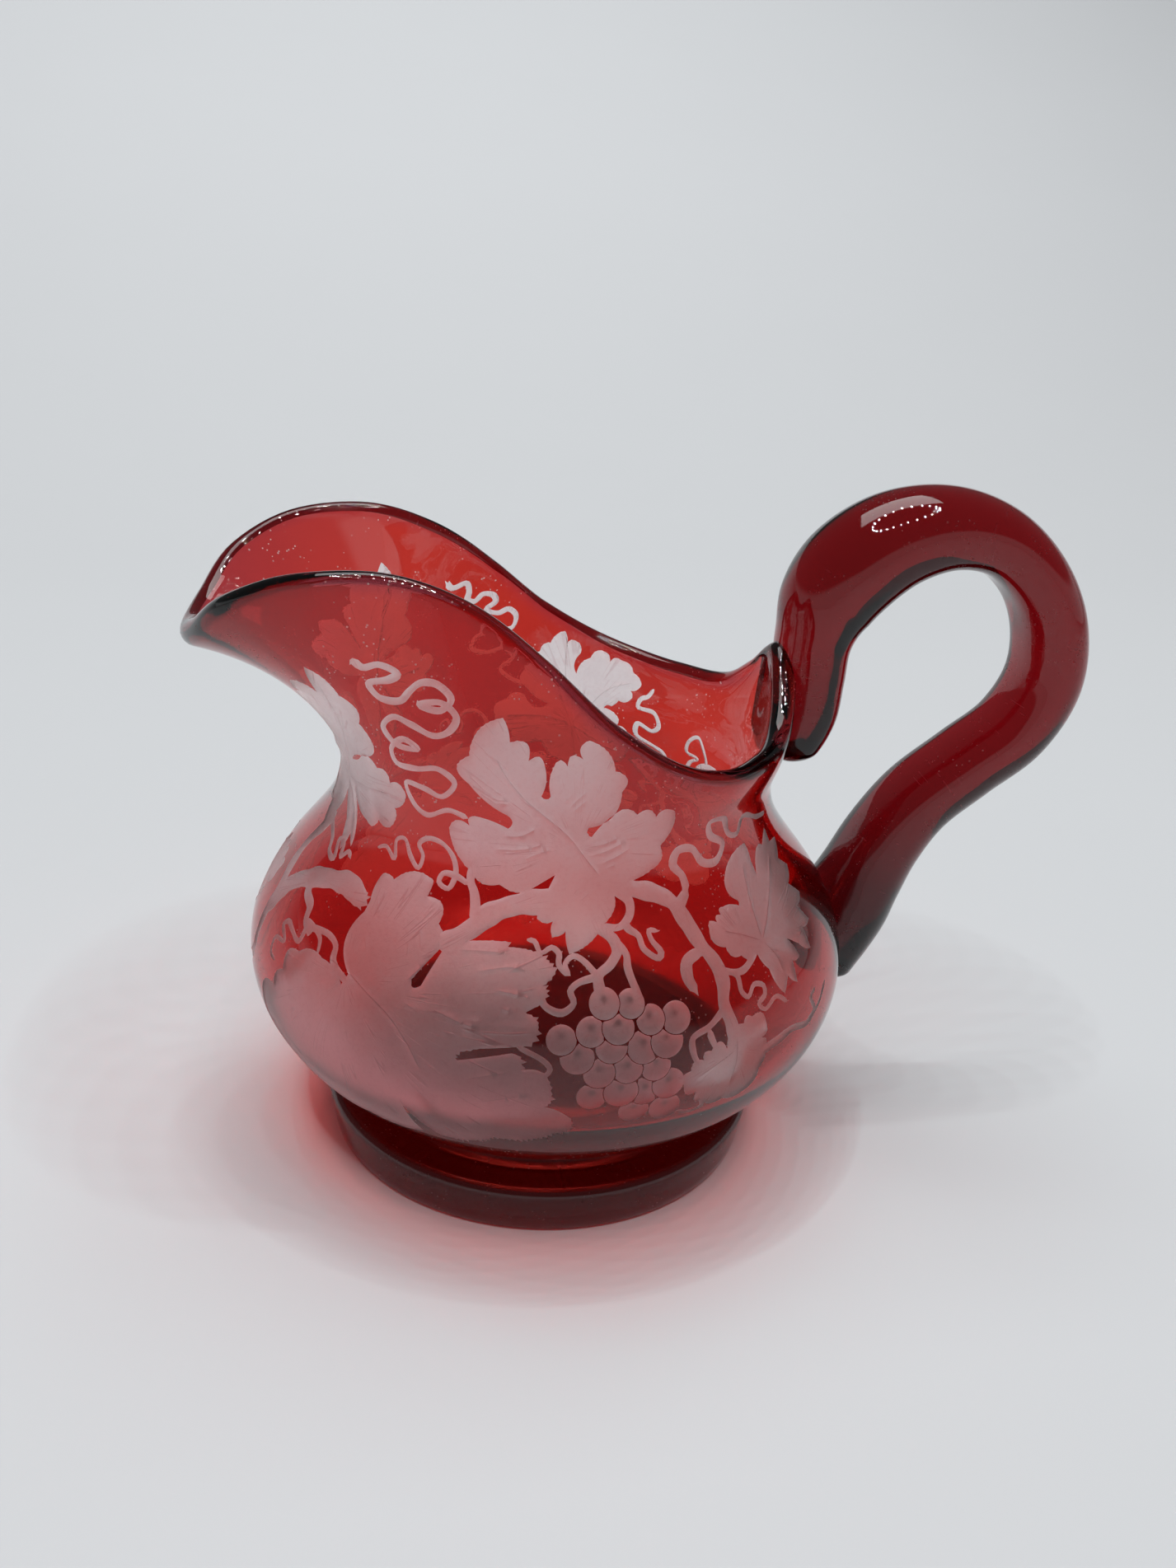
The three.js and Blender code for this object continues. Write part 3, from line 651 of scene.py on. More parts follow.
def from_ends(path: np.ndarray) -> np.ndarray:
    """How far each point of a path lies along it from the nearer end."""
    travelled = np.concatenate([[0], np.cumsum(np.linalg.norm(np.diff(path, axis=0), axis=1))])
    return np.minimum(travelled, travelled[-1] - travelled)


def tree_of(points: np.ndarray) -> KDTree:
    """A search tree over points, flat ones at height nought."""
    tree = KDTree(len(points))
    for number, point in enumerate(points):
        tree.insert((*point, 0)[:3], number)
    tree.balance()
    return tree


@dataclass
class Engraving:
    """The grapevine that the wheel cut through the ruby layer, as marks on the flat wall."""

    wall: UnrolledWall
    outline_step: float = 0.38
    path_step: float = 0.42
    path_step_share: float = 0.7
    least_path_step: float = 0.05
    wavers: tuple[tuple[float, float, float], ...] = ((0.10, 0.37, 9.0), (0.05, 0.83, 0.0))
    blunt_end: float = 0.15
    vein_width: float = 0.28
    vein_taper: float = 0.6
    stroke_width: float = 0.17
    stroke_press: float = 0.62
    tooth_length: float = 0.62
    least_tooth: float = 0.16
    tooth_odds: tuple[float, float] = (0.05, 1.0)
    facing_from: float = 0.3
    facing_blend: float = 0.4
    ragged_from: float = 9.0
    ragged_blend: float = 5.0
    grape_points: int = 30
    grape_odds: float = 0.07
    grape_pace: float = 5.1
    least_grape: float = 0.15
    slack: float = 0.01
    narrow: float = 2.2
    chance: np.random.Generator = field(default_factory=lambda: np.random.default_rng(41))
    marks: list[Mark] = field(default_factory=list)

    def draw(self) -> None:
        """Lays all the marks on the wall."""
        for leaf in LEAVES:
            self.marks.append(self.leaf(leaf))
            self.marks.extend(self.vein(leaf, vein, self.vein_width, 1.0) for vein in leaf.veins)
            self.marks.extend(self.vein(leaf, stroke, self.stroke_width, self.stroke_press) for stroke in leaf.strokes)
        repeated = [over_to_far_side(stem) for number, stem in enumerate(STEMS) if number not in NEAR_SIDE_ONLY]
        for stem in (*STEMS, *ACROSS_STEMS, *repeated):
            path = np.array([self.wall.flat(*place) for place in stem.places])
            self.marks.append(self.ribbon(path, stem.width, stem.end_width, MarkKind.STEM))
        for cluster in CLUSTERS:
            self.marks.extend(self.grapes(cluster))

    def on_leaf(self, leaf: LeafPlace, points: np.ndarray) -> np.ndarray:
        """Points given from a leaf's heart, as flat points.

        Args:
            leaf: the leaf.
            points: millimetres right of and above its heart, before it is turned, sized and mirrored.

        Returns:
            The flat points.
        """
        points = points * leaf.size * np.array([-1.0 if leaf.mirrored else 1.0, 1.0])
        spin = math.radians(leaf.spin)
        points = points @ np.array([[math.cos(spin), math.sin(spin)], [-math.sin(spin), math.cos(spin)]])
        heart = self.wall.flat(leaf.turn, leaf.along)
        along = heart[1] + points[:, 1]
        flat = np.stack([np.full(len(points), heart[0]), along], -1)
        beside = self.wall.stretch(flat)
        for _ in range(3):
            flat[:, 0] = heart[0] - points[:, 0] / ((self.wall.stretch(flat) + beside) / 2)
        return flat

    def leaf(self, leaf: LeafPlace) -> Mark:
        """A leaf's mark, its lobes swelling between their corners."""
        places = np.array([(corner.right, corner.up) for corner in leaf.form.value])
        edges = []
        for number, corner in enumerate(leaf.form.value):
            start, end = places[number], places[(number + 1) % len(places)]
            chord = end - start
            length = float(np.hypot(*chord)) * (1 + abs(corner.swell))
            count = max(1, math.ceil(length * leaf.size / self.outline_step))
            share = (np.arange(count) / count)[:, None]
            bulge = 4 * corner.swell * share * (1 - share) * np.array([-chord[1], chord[0]])
            edges.append(start + share * chord + bulge)
        heart = self.wall.flat(leaf.turn, leaf.along)[None]
        local = np.concatenate(edges)
        ragged = np.clip((local[:, :1] - self.ragged_from) / self.ragged_blend, 0, 1)
        outline = self.toothed(self.on_leaf(leaf, local), heart, ragged * (leaf.form is LeafForm.GREAT))
        return Mark(MarkKind.LEAF, outline, heart, np.zeros(1))

    def toothed(self, outline: np.ndarray, heart: np.ndarray, ragged: np.ndarray) -> np.ndarray:
        """A leaf's outline with fine teeth where it faces away from the heart, longer where the wheel ran over.

        Args:
            outline: flat points.
            heart: the leaf's heart.
            ragged: how far the wheel ran over at each of them, 0 to 1.

        Returns:
            The outline, every other point of it drawn out.
        """
        scale, inward = self.inward(outline)
        away = (outline - heart) * scale
        far = np.linalg.norm(away, axis=1, keepdims=True)
        away = away / np.maximum(far, 1e-9)
        facing = -np.sum(inward * away, axis=1, keepdims=True)
        facing = np.clip((facing - self.facing_from) / self.facing_blend, 0, 1)
        length = self.tooth_length * (self.least_tooth + (1 - self.least_tooth) * ragged)
        uneven = self.chance.uniform(*self.tooth_odds, len(outline)) * (np.arange(len(outline)) % 2)
        return outline + (away - inward) * 0.5 * facing * length * uneven[:, None] / scale

    def inward(self, outline: np.ndarray) -> tuple[np.ndarray, np.ndarray]:
        """The scale from flat to real at an outline's points, and the way in from each of them."""
        scale = self.wall.scale(outline)
        run = (np.roll(outline, -1, axis=0) - np.roll(outline, 1, axis=0)) * scale
        run /= np.maximum(np.linalg.norm(run, axis=1, keepdims=True), 1e-9)
        x, y = outline.T
        clockwise = np.sum(x * np.roll(y, -1) - np.roll(x, -1) * y) < 0
        return scale, np.stack([run[:, 1], -run[:, 0]], -1) * (1 if clockwise else -1)

    def vein(self, leaf: LeafPlace, places: tuple[Place, ...], width: float, press: float) -> Mark:
        """A vein's or stroke's mark, deeper than the leaf."""
        path = self.on_leaf(leaf, np.array(places, float))
        mark = self.ribbon(path, width, width * self.vein_taper, MarkKind.VEIN)
        mark.press = press
        return mark

    def ribbon(self, path: np.ndarray, width: float, end_width: float, kind: MarkKind) -> Mark:
        """A mark along a path.

        Args:
            path: flat points that it goes through.
            width: its width where it starts.
            end_width: its width where it ends.
            kind: a stem or a vein.

        Returns:
            The mark, with rounded ends.
        """
        fine = self.path_step_share * min(width, end_width) + self.least_path_step
        middle = smooth_path(path, min(self.path_step, fine))
        scale = self.wall.scale(middle)
        run = np.gradient(middle, axis=0) * scale
        run /= np.maximum(np.linalg.norm(run, axis=1, keepdims=True), 1e-9)
        share = np.linspace(0, 1, len(middle))
        half = (width + (end_width - width) * share) / 2
        count = share * len(middle)
        half = half * (1 + sum(size * np.sin(count * pace + width * start) for size, pace, start in self.wavers))
        half = half * np.sqrt(np.clip(from_ends(middle) / np.maximum(half, 1e-6) + self.blunt_end, 0.0, 1.0))
        side = np.stack([-run[:, 1], run[:, 0]], -1) * half[:, None] / scale
        return Mark(kind, np.concatenate([middle + side, (middle - side)[::-1]]), middle, half)

    def grapes(self, cluster: Cluster) -> list[Mark]:
        """Round marks for a bunch of grapes, each cut off where an earlier one lies over it, with a line left between.

        Args:
            cluster: the bunch.

        Returns:
            One mark for each grape.
        """
        hearts = np.array([self.wall.flat(*place) for place in cluster.places])
        stretch = float(self.wall.stretch(hearts).mean())
        real = hearts * np.array([stretch, 1.0])
        radii = cluster.radius * (1 + self.grape_odds * np.sin(self.grape_pace * np.arange(len(hearts))))
        angle = np.linspace(0, 2 * math.pi, self.grape_points, endpoint=False)
        marks = []
        for number, heart in enumerate(hearts):
            reach = np.full(len(angle), radii[number])
            for other in range(number):
                away = real[other] - real[number]
                gap = float(np.hypot(*away))
                off = angle - math.atan2(away[1], away[0])
                chord = (radii[other] + cluster.parting) ** 2 - (gap * np.sin(off)) ** 2
                meets = (chord > 0) & (np.cos(off) > 0)
                reach = np.where(meets, np.minimum(reach, gap * np.cos(off) - np.sqrt(np.maximum(chord, 0))), reach)
            reach = np.maximum(reach, self.least_grape)
            outline = heart + reach[:, None] * np.stack([np.cos(angle) / stretch, np.sin(angle)], -1)
            marks.append(Mark(MarkKind.GRAPE, outline, heart[None], np.array([radii[number]])))
        return marks

    def covers(self, mark: Mark, points: np.ndarray) -> np.ndarray:
        """Which flat points a mark covers.

        Args:
            mark: the mark.
            points: flat points.

        Returns:
            True for each point inside it.
        """
        covered = np.zeros(len(points), bool)
        near = np.flatnonzero(mark.near(points, 10 * self.slack))
        if len(near):
            on_path = mark.kind in (MarkKind.STEM, MarkKind.VEIN)
            covered[near] = (self.on_ribbon if on_path else self.in_outline)(mark, points[near])
        return covered

    def on_ribbon(self, mark: Mark, points: np.ndarray) -> np.ndarray:
        """Which flat points lie within a mark's half width of its middle line."""
        index = np.arange(len(mark.middle))
        fine = np.linspace(0, index[-1], 3 * len(index))
        across, along, half = (np.interp(fine, index, row) for row in (*mark.middle.T, mark.half_width))
        stretch = self.wall.stretch(points)[:, None]
        gap = np.hypot((points[:, :1] - across) * stretch, points[:, 1:] - along) - half
        return gap.min(axis=1) < self.slack

    def in_outline(self, mark: Mark, points: np.ndarray) -> np.ndarray:
        """Which flat points lie inside a mark's outline."""
        x, y = points.T
        inside = np.zeros(len(points), bool)
        for (x0, y0), (x1, y1) in zip(mark.outline, np.roll(mark.outline, -1, axis=0)):
            if y0 != y1:
                crosses = (y0 > y) != (y1 > y)
                inside ^= crosses & (x < x0 + (y - y0) * (x1 - x0) / (y1 - y0))
        return inside

    def ring(self, mark: Mark, inset: float) -> np.ndarray:
        """Flat points just inside a mark's outline, or on its middle line where it is too narrow for that."""
        if mark.kind is MarkKind.VEIN:
            return mark.middle[:0]
        if mark.kind is MarkKind.STEM and mark.half_width.max() < self.narrow * inset:
            return mark.middle[1:-1]
        scale, inward = self.inward(mark.outline)
        return mark.outline + inward * inset / scale


@dataclass
class CutWall:
    """The outer side as triangles, with what the wheel did at each point and on each triangle."""

    turn: np.ndarray
    points: np.ndarray
    triangles: np.ndarray
    engraved: np.ndarray
    polish: np.ndarray
    stroke: np.ndarray
    gathered_and_shade: np.ndarray
    rim_ring: list[int]
    seat_ring: list[int]


@dataclass
class Wheel:
    """Lays the wall out in triangles that keep to the outlines of the marks, and sinks the marks into it."""

    form: BowlForm
    columns: int = 240
    side_rows: int = 78
    grain: float = 0.86
    first_row: float = 0.8
    row_share: float = 0.87
    end_gap: float = 0.3
    top_gap: float = 0.45
    parting: float = 0.21
    margin: float = 0.25
    same_point: float = 1e-4
    least_area: float = 1e-9
    inset: float = 0.28
    eye_radius: float = 0.36
    eye_polish: float = 0.50
    eye_core: float = 1.25
    bevel_depth: float = 0.10
    bevel_share: float = 0.9
    hollow_depth: float = 0.14
    hollow_reach: float = 2.6
    vein_depth: float = 0.07
    vein_lead: float = 1.0
    vein_reach: float = 0.06
    stroke_pace: float = 7.0
    stroke_shift: float = 3.7
    rim_fade: float = 2.4
    rim_gathered: float = 0.5
    lip_reach: float = 44.0
    lip_fade: float = 16.0
    lip_gathered: float = 0.8

    def cut(self) -> CutWall:
        """Cuts the grapevine.

        Returns:
            The wall's outer side, engraved.
        """
        wall = UnrolledWall(self.form)
        engraving = Engraving(wall)
        engraving.draw()
        turns = np.linspace(-math.pi, math.pi, self.columns + 1)
        across, rim = turns * wall.mean_radius, wall.rim_at(turns)
        border = self.border(across, rim)
        fixed, edges = self.outlines(border, engraving.marks)
        eyes = [self.eye(wall, mark) for mark in engraving.marks if mark.kind is MarkKind.GRAPE]
        rings = [engraving.ring(mark, self.inset) for mark in engraving.marks]
        free = self.thinned(np.concatenate([*eyes, *rings, self.lattice(wall)]), fixed, wall)
        flat, triangles = self.triangulate(np.concatenate([fixed, free]), edges)
        centre = flat[triangles].mean(axis=1)
        below_rim = centre[:, 1] < np.interp(centre[:, 0], across, rim)
        triangles, centre = triangles[below_rim], centre[below_rim]
        engraved = np.zeros(len(triangles), bool)
        for mark in engraving.marks:
            if mark.kind is not MarkKind.VEIN:
                engraved |= engraving.covers(mark, centre)
        seat_ring = np.arange(len(turns))
        rim_ring = (seat_ring + len(border) // 2)[::-1]
        turn = flat[:, 0] / wall.mean_radius
        place = wall.read(turn, flat[:, 1], wall.places)
        place[seat_ring], place[rim_ring] = 0.0, 3.0
        point, _, normal = self.form.wall_frame(turn, place)
        in_cut, in_ruby = (np.isin(np.arange(len(flat)), triangles[side]) for side in (engraved, ~engraved))
        depth = self.hollowed(point, in_cut, in_ruby)
        polish = self.press_veins(engraving, flat, in_cut & ~in_ruby, depth)
        stroke = self.strokes(engraving, flat, in_cut, polish)
        gathered_and_shade = self.gathered_and_shade(turn, wall.rim_at(turn) - flat[:, 1])
        moved = point - normal * depth[:, None]
        rim_ring, seat_ring = rim_ring.tolist(), seat_ring.tolist()
        return CutWall(turn, moved, triangles, engraved, polish, stroke, gathered_and_shade, rim_ring, seat_ring)

    def border(self, across: np.ndarray, rim: np.ndarray) -> np.ndarray:
        """The flat wall's border: along the seat, up its right end, back along the rim and down its left end."""
        sides = np.linspace(0, rim[0], self.side_rows)[1:-1]
        right = np.stack([np.full(len(sides), across[-1]), sides], -1)
        left = np.stack([np.full(len(sides), across[0]), sides[::-1]], -1)
        seat_line = np.stack([across, np.zeros(len(across))], -1)
        return np.concatenate([seat_line, right, np.stack([across, rim], -1)[::-1], left])

    def outlines(self, border: np.ndarray, marks: list[Mark]) -> tuple[np.ndarray, np.ndarray]:
        """What the triangles keep to: the border, the outlines of the marks and the middle lines of the veins.

        Args:
            border: the flat wall's border.
            marks: the marks.

        Returns:
            The points, and pairs of their numbers.
        """
        lines = [(border, True)]
        for mark in marks:
            lines.append((mark.outline, True))
            if mark.kind is MarkKind.VEIN:
                lines.append((mark.middle[1:-1], False))
        edges, count = [], 0
        for line, closed in lines:
            index = np.arange(len(line)) + count
            pairs = np.stack([index, np.roll(index, -1)], -1)
            edges.append(pairs if closed else pairs[:-1])
            count += len(line)
        return np.concatenate([line for line, _ in lines]), np.concatenate(edges)

    def eye(self, wall: UnrolledWall, mark: Mark) -> np.ndarray:
        """Points for the eye of a grape: its middle and a small ring."""
        angle = np.linspace(0, 2 * math.pi, 6, endpoint=False)
        stretch = float(wall.stretch(mark.middle)[0])
        ring = self.eye_radius * np.stack([np.cos(angle) / stretch, np.sin(angle)], -1)
        return np.concatenate([mark.eye[None], mark.eye + ring])

    def lattice(self, wall: UnrolledWall) -> np.ndarray:
        """Evenly spread points over the flat wall."""
        rows = []
        heights = np.arange(self.grain * self.first_row, wall.rim.max(), self.grain * self.row_share)
        for number, along in enumerate(heights):
            first = self.grain * (0.5 + 0.5 * (number % 2)) - wall.half_width
            across = np.arange(first, wall.half_width - self.end_gap, self.grain)
            rows.append(np.stack([across, np.full(len(across), along)], -1))
        points = np.concatenate(rows)
        return points[points[:, 1] < wall.rim_at(points[:, 0] / wall.mean_radius) - self.top_gap]

    def thinned(self, free: np.ndarray, fixed: np.ndarray, wall: UnrolledWall) -> np.ndarray:
        """Leaves out free points that lie too close to fixed ones or to earlier free ones.

        Args:
            free: the free points, the most wanted first.
            fixed: the points of the outlines.
            wall: the flat wall.

        Returns:
            The free points that stay.
        """
        tree = tree_of(np.concatenate([fixed, free]))
        across, along = free.T
        top = wall.rim_at(across / wall.mean_radius) - self.margin
        keep = (np.abs(across) < wall.half_width - self.margin) & (along > self.margin) & (along < top)
        for number in np.flatnonzero(keep):
            near = [other - len(fixed) for _, other, _ in tree.find_range((*free[number], 0), self.parting)]
            keep[number] = not any(other < 0 or (other < number and keep[other]) for other in near)
        return free[keep]

    def triangulate(self, points: np.ndarray, edges: np.ndarray) -> tuple[np.ndarray, np.ndarray]:
        """Triangles over the flat points that keep to the edges.

        Args:
            points: flat points.
            edges: pairs of their numbers.

        Returns:
            The points, with those where edges cross added, and the triangles.
        """
        vectors = [Vector((float(x), float(y))) for x, y in points]
        result = delaunay_2d_cdt(vectors, edges.tolist(), [], 0, self.same_point)
        flat = np.array([tuple(v) for v in result[0]])
        triangles = np.array([face for face in result[2] if len(face) == 3])
        a, b, c = (flat[triangles[:, k]] for k in range(3))
        area = (b[:, 0] - a[:, 0]) * (c[:, 1] - a[:, 1]) - (b[:, 1] - a[:, 1]) * (c[:, 0] - a[:, 0])
        return flat, triangles[np.abs(area) > self.least_area]

    def hollowed(self, point: np.ndarray, in_cut: np.ndarray, in_ruby: np.ndarray) -> np.ndarray:
        """How deep the wheel went at each point: a bevel along the edge of the cut, and a soft hollow past it.

        Args:
            point: the wall's points.
            in_cut: which of them an engraved triangle has.
            in_ruby: which of them another triangle has.

        Returns:
            The depths in millimetres.
        """
        tree = tree_of(point[in_cut & in_ruby])
        depth = np.zeros(len(point))
        for vertex in np.flatnonzero(in_cut & ~in_ruby):
            gap = tree.find(point[vertex])[2]
            ease = min(gap / (self.inset * self.bevel_share), 1.0)
            depth[vertex] = self.bevel_depth * ease * ease * (3 - 2 * ease)
            depth[vertex] += self.hollow_depth * (1 - math.exp(-gap / self.hollow_reach))
        return depth

    def press_veins(self, engraving: Engraving, flat: np.ndarray, inside: np.ndarray, depth: np.ndarray) -> np.ndarray:
        """Presses the veins and strokes into the leaves.

        Args:
            engraving: the marks.
            flat: the flat points.
            inside: which of them lie inside a cut.
            depth: how deep each point lies, which the veins add to.

        Returns:
            How smooth the wheel left each point, 0 to 1.
        """
        polish = np.zeros(len(flat))
        for mark in engraving.marks:
            if mark.kind is not MarkKind.VEIN:
                continue
            tree = tree_of(mark.middle)
            press = mark.press * np.clip(from_ends(mark.middle) / self.vein_lead, 0, 1)
            for vertex in np.flatnonzero(mark.near(flat, self.vein_reach) & inside):
                _, index, gap = tree.find((*flat[vertex], 0))
                if gap < self.vein_reach:
                    polish[vertex] = press[index]
                    depth[vertex] += self.vein_depth * press[index]
        return polish

    def strokes(self, engraving: Engraving, flat: np.ndarray, in_cut: np.ndarray, polish: np.ndarray) -> np.ndarray:
        """How the wheel's fine strokes run: round the heart of each mark, out from it, and apart from other marks'.

        Args:
            engraving: the marks.
            flat: the flat points.
            in_cut: which of them an engraved triangle has.
            polish: how smooth each point is, which the eyes of the grapes set.

        Returns:
            A vector for each point.
        """
        stroke = np.zeros((len(flat), 3))
        for number, mark in enumerate(engraving.marks):
            if mark.kind is MarkKind.VEIN:
                continue
            near = np.flatnonzero(engraving.covers(mark, flat) & in_cut)
            if mark.kind is MarkKind.GRAPE:
                polish[near] = np.clip(self.eye_core - np.hypot(*(flat[near] - mark.eye).T) / self.eye_polish, 0, 1)
            heart = mark.middle[len(mark.middle) // 2]
            right, up = ((flat[near] - heart) * engraving.wall.scale(heart[None])).T
            stroke[near, 0] = np.arctan2(up, right) * self.stroke_pace
            stroke[near, 1] = np.hypot(right, up)
            stroke[near, 2] = number * self.stroke_shift
        return stroke

    def gathered_and_shade(self, turn: np.ndarray, below_rim: np.ndarray) -> np.ndarray:
        """How much deeper the ruby is along the rim and round the tip of the lip, 0 to 1."""
        along_rim = self.rim_gathered * np.clip(1 - below_rim / self.rim_fade, 0, 1) ** 2
        at_lip = np.clip(1 - np.abs(turn) / math.radians(self.lip_reach), 0, 1)
        return np.maximum(along_rim, self.lip_gathered * at_lip * np.clip(1 - below_rim / self.lip_fade, 0, 1))


def new_object(name: str, data: bpy.types.ID) -> bpy.types.Object:
    """An object for a mesh, a lamp or a camera, at the origin of the scene."""
    made = bpy.data.objects.new(name, data)
    bpy.context.scene.collection.objects.link(made)
    return made


class NodeKit:
    """Adds nodes to a tree and links them."""

    def __init__(self, tree: bpy.types.NodeTree) -> None:
        """Keeps the tree."""
        self.tree = tree

    def add(self, kind: str, values: dict[str | int, object] | None = None,
            settings: dict[str, object] | None = None) -> bpy.types.Node:
        """Adds a node.

        Args:
            kind: the node's type.
            values: what its inputs take, a value or another node's output.
            settings: its properties.

        Returns:
            The node.
        """
        node = self.tree.nodes.new(kind)
        for key, value in (settings or {}).items():
            setattr(node, key, value)
        self.feed(node, values or {})
        return node

    def feed(self, node: bpy.types.Node, values: dict[str | int, object]) -> None:
        """Gives a node's inputs their values, or links them to other nodes' outputs."""
        for key, value in values.items():
            if isinstance(value, bpy.types.NodeSocket):
                self.tree.links.new(value, node.inputs[key])
            else:
                node.inputs[key].default_value = value

    def place(self) -> bpy.types.NodeSocket:
        """The place on the object."""
        return self.add("ShaderNodeTexCoord").outputs["Object"]

    def noted(self, name: str, output: str = "Fac") -> bpy.types.NodeSocket:
        """What the mesh stores under a name."""
        return self.add("ShaderNodeAttribute", settings={"attribute_name": name}).outputs[output]

    def bump(self, height: object, distance: float) -> bpy.types.NodeSocket:
        """The normal of a surface with a relief."""
        values = {"Height": height, "Strength": BUMP_STRENGTH, "Distance": distance}
        return self.add("ShaderNodeBump", values).outputs[0]

    def group(self, tree: bpy.types.NodeTree, values: dict[str, object]) -> bpy.types.NodeOutputs:
        """The outputs of a node group, given what its inputs take."""
        return self.add("ShaderNodeGroup", values, {"node_tree": tree}).outputs

    def math(self, operation: str, first: object, second: object = 0.0) -> bpy.types.NodeSocket:
        """The result of a Math node."""
        return self.add("ShaderNodeMath", {0: first, 1: second}, {"operation": operation}).outputs[0]

    def noise(self, vector: object, scale: object, detail: float, roughness: float = 0.5) -> bpy.types.NodeSocket:
        """The value of a noise texture."""
        values = {"Vector": vector, "Scale": scale, "Detail": detail, "Roughness": roughness}
        return self.add("ShaderNodeTexNoise", values).outputs[0]

    def ramp(self, value: object, low: float, high: float, to_low: float = 0.0,
             to_high: float = 1.0) -> bpy.types.NodeSocket:
        """A value moved smoothly from one range to another."""
        values = {0: value, 1: low, 2: high, 3: to_low, 4: to_high}
        return self.add("ShaderNodeMapRange", values, {"interpolation_type": "SMOOTHSTEP"}).outputs[0]

    def blend(self, share: object, first: object, second: object, how: str = "MIX") -> bpy.types.NodeSocket:
        """A colour between two, or one times a share of the other."""
        settings = {"data_type": "RGBA", "blend_type": how}
        return self.add("ShaderNodeMix", {0: share, 6: first, 7: second}, settings).outputs[2]


FLOAT, COLOUR = "NodeSocketFloat", "NodeSocketColor"


def principled(name: str) -> tuple[bpy.types.Material, NodeKit, bpy.types.Node]:
    """A new material, with a kit for its tree and its Principled shader."""
    material = bpy.data.materials.new(name)
    material.use_nodes = True
    return material, NodeKit(material.node_tree), material.node_tree.nodes["Principled BSDF"]


def shader_group(name: str, inputs: dict[str, tuple[str, object]], outputs: dict[str, str]) -> tuple[
        bpy.types.NodeTree, NodeKit, bpy.types.NodeOutputs, bpy.types.Node]:
    """An empty shader group with named sockets.

    Args:
        name: its name.
        inputs: each input's socket type and standard value.
        outputs: each output's socket type.

    Returns:
        The group, a kit for it, the sockets that its inputs come in by, and the node that its outputs leave by.
    """
    tree = bpy.data.node_groups.new(name, "ShaderNodeTree")
    for key, (kind, value) in inputs.items():
        tree.interface.new_socket(key, in_out="INPUT", socket_type=kind).default_value = value
    for key, kind in outputs.items():
        tree.interface.new_socket(key, in_out="OUTPUT", socket_type=kind)
    start, end = tree.nodes.new("NodeGroupInput"), tree.nodes.new("NodeGroupOutput")
    return tree, NodeKit(tree), start.outputs, end


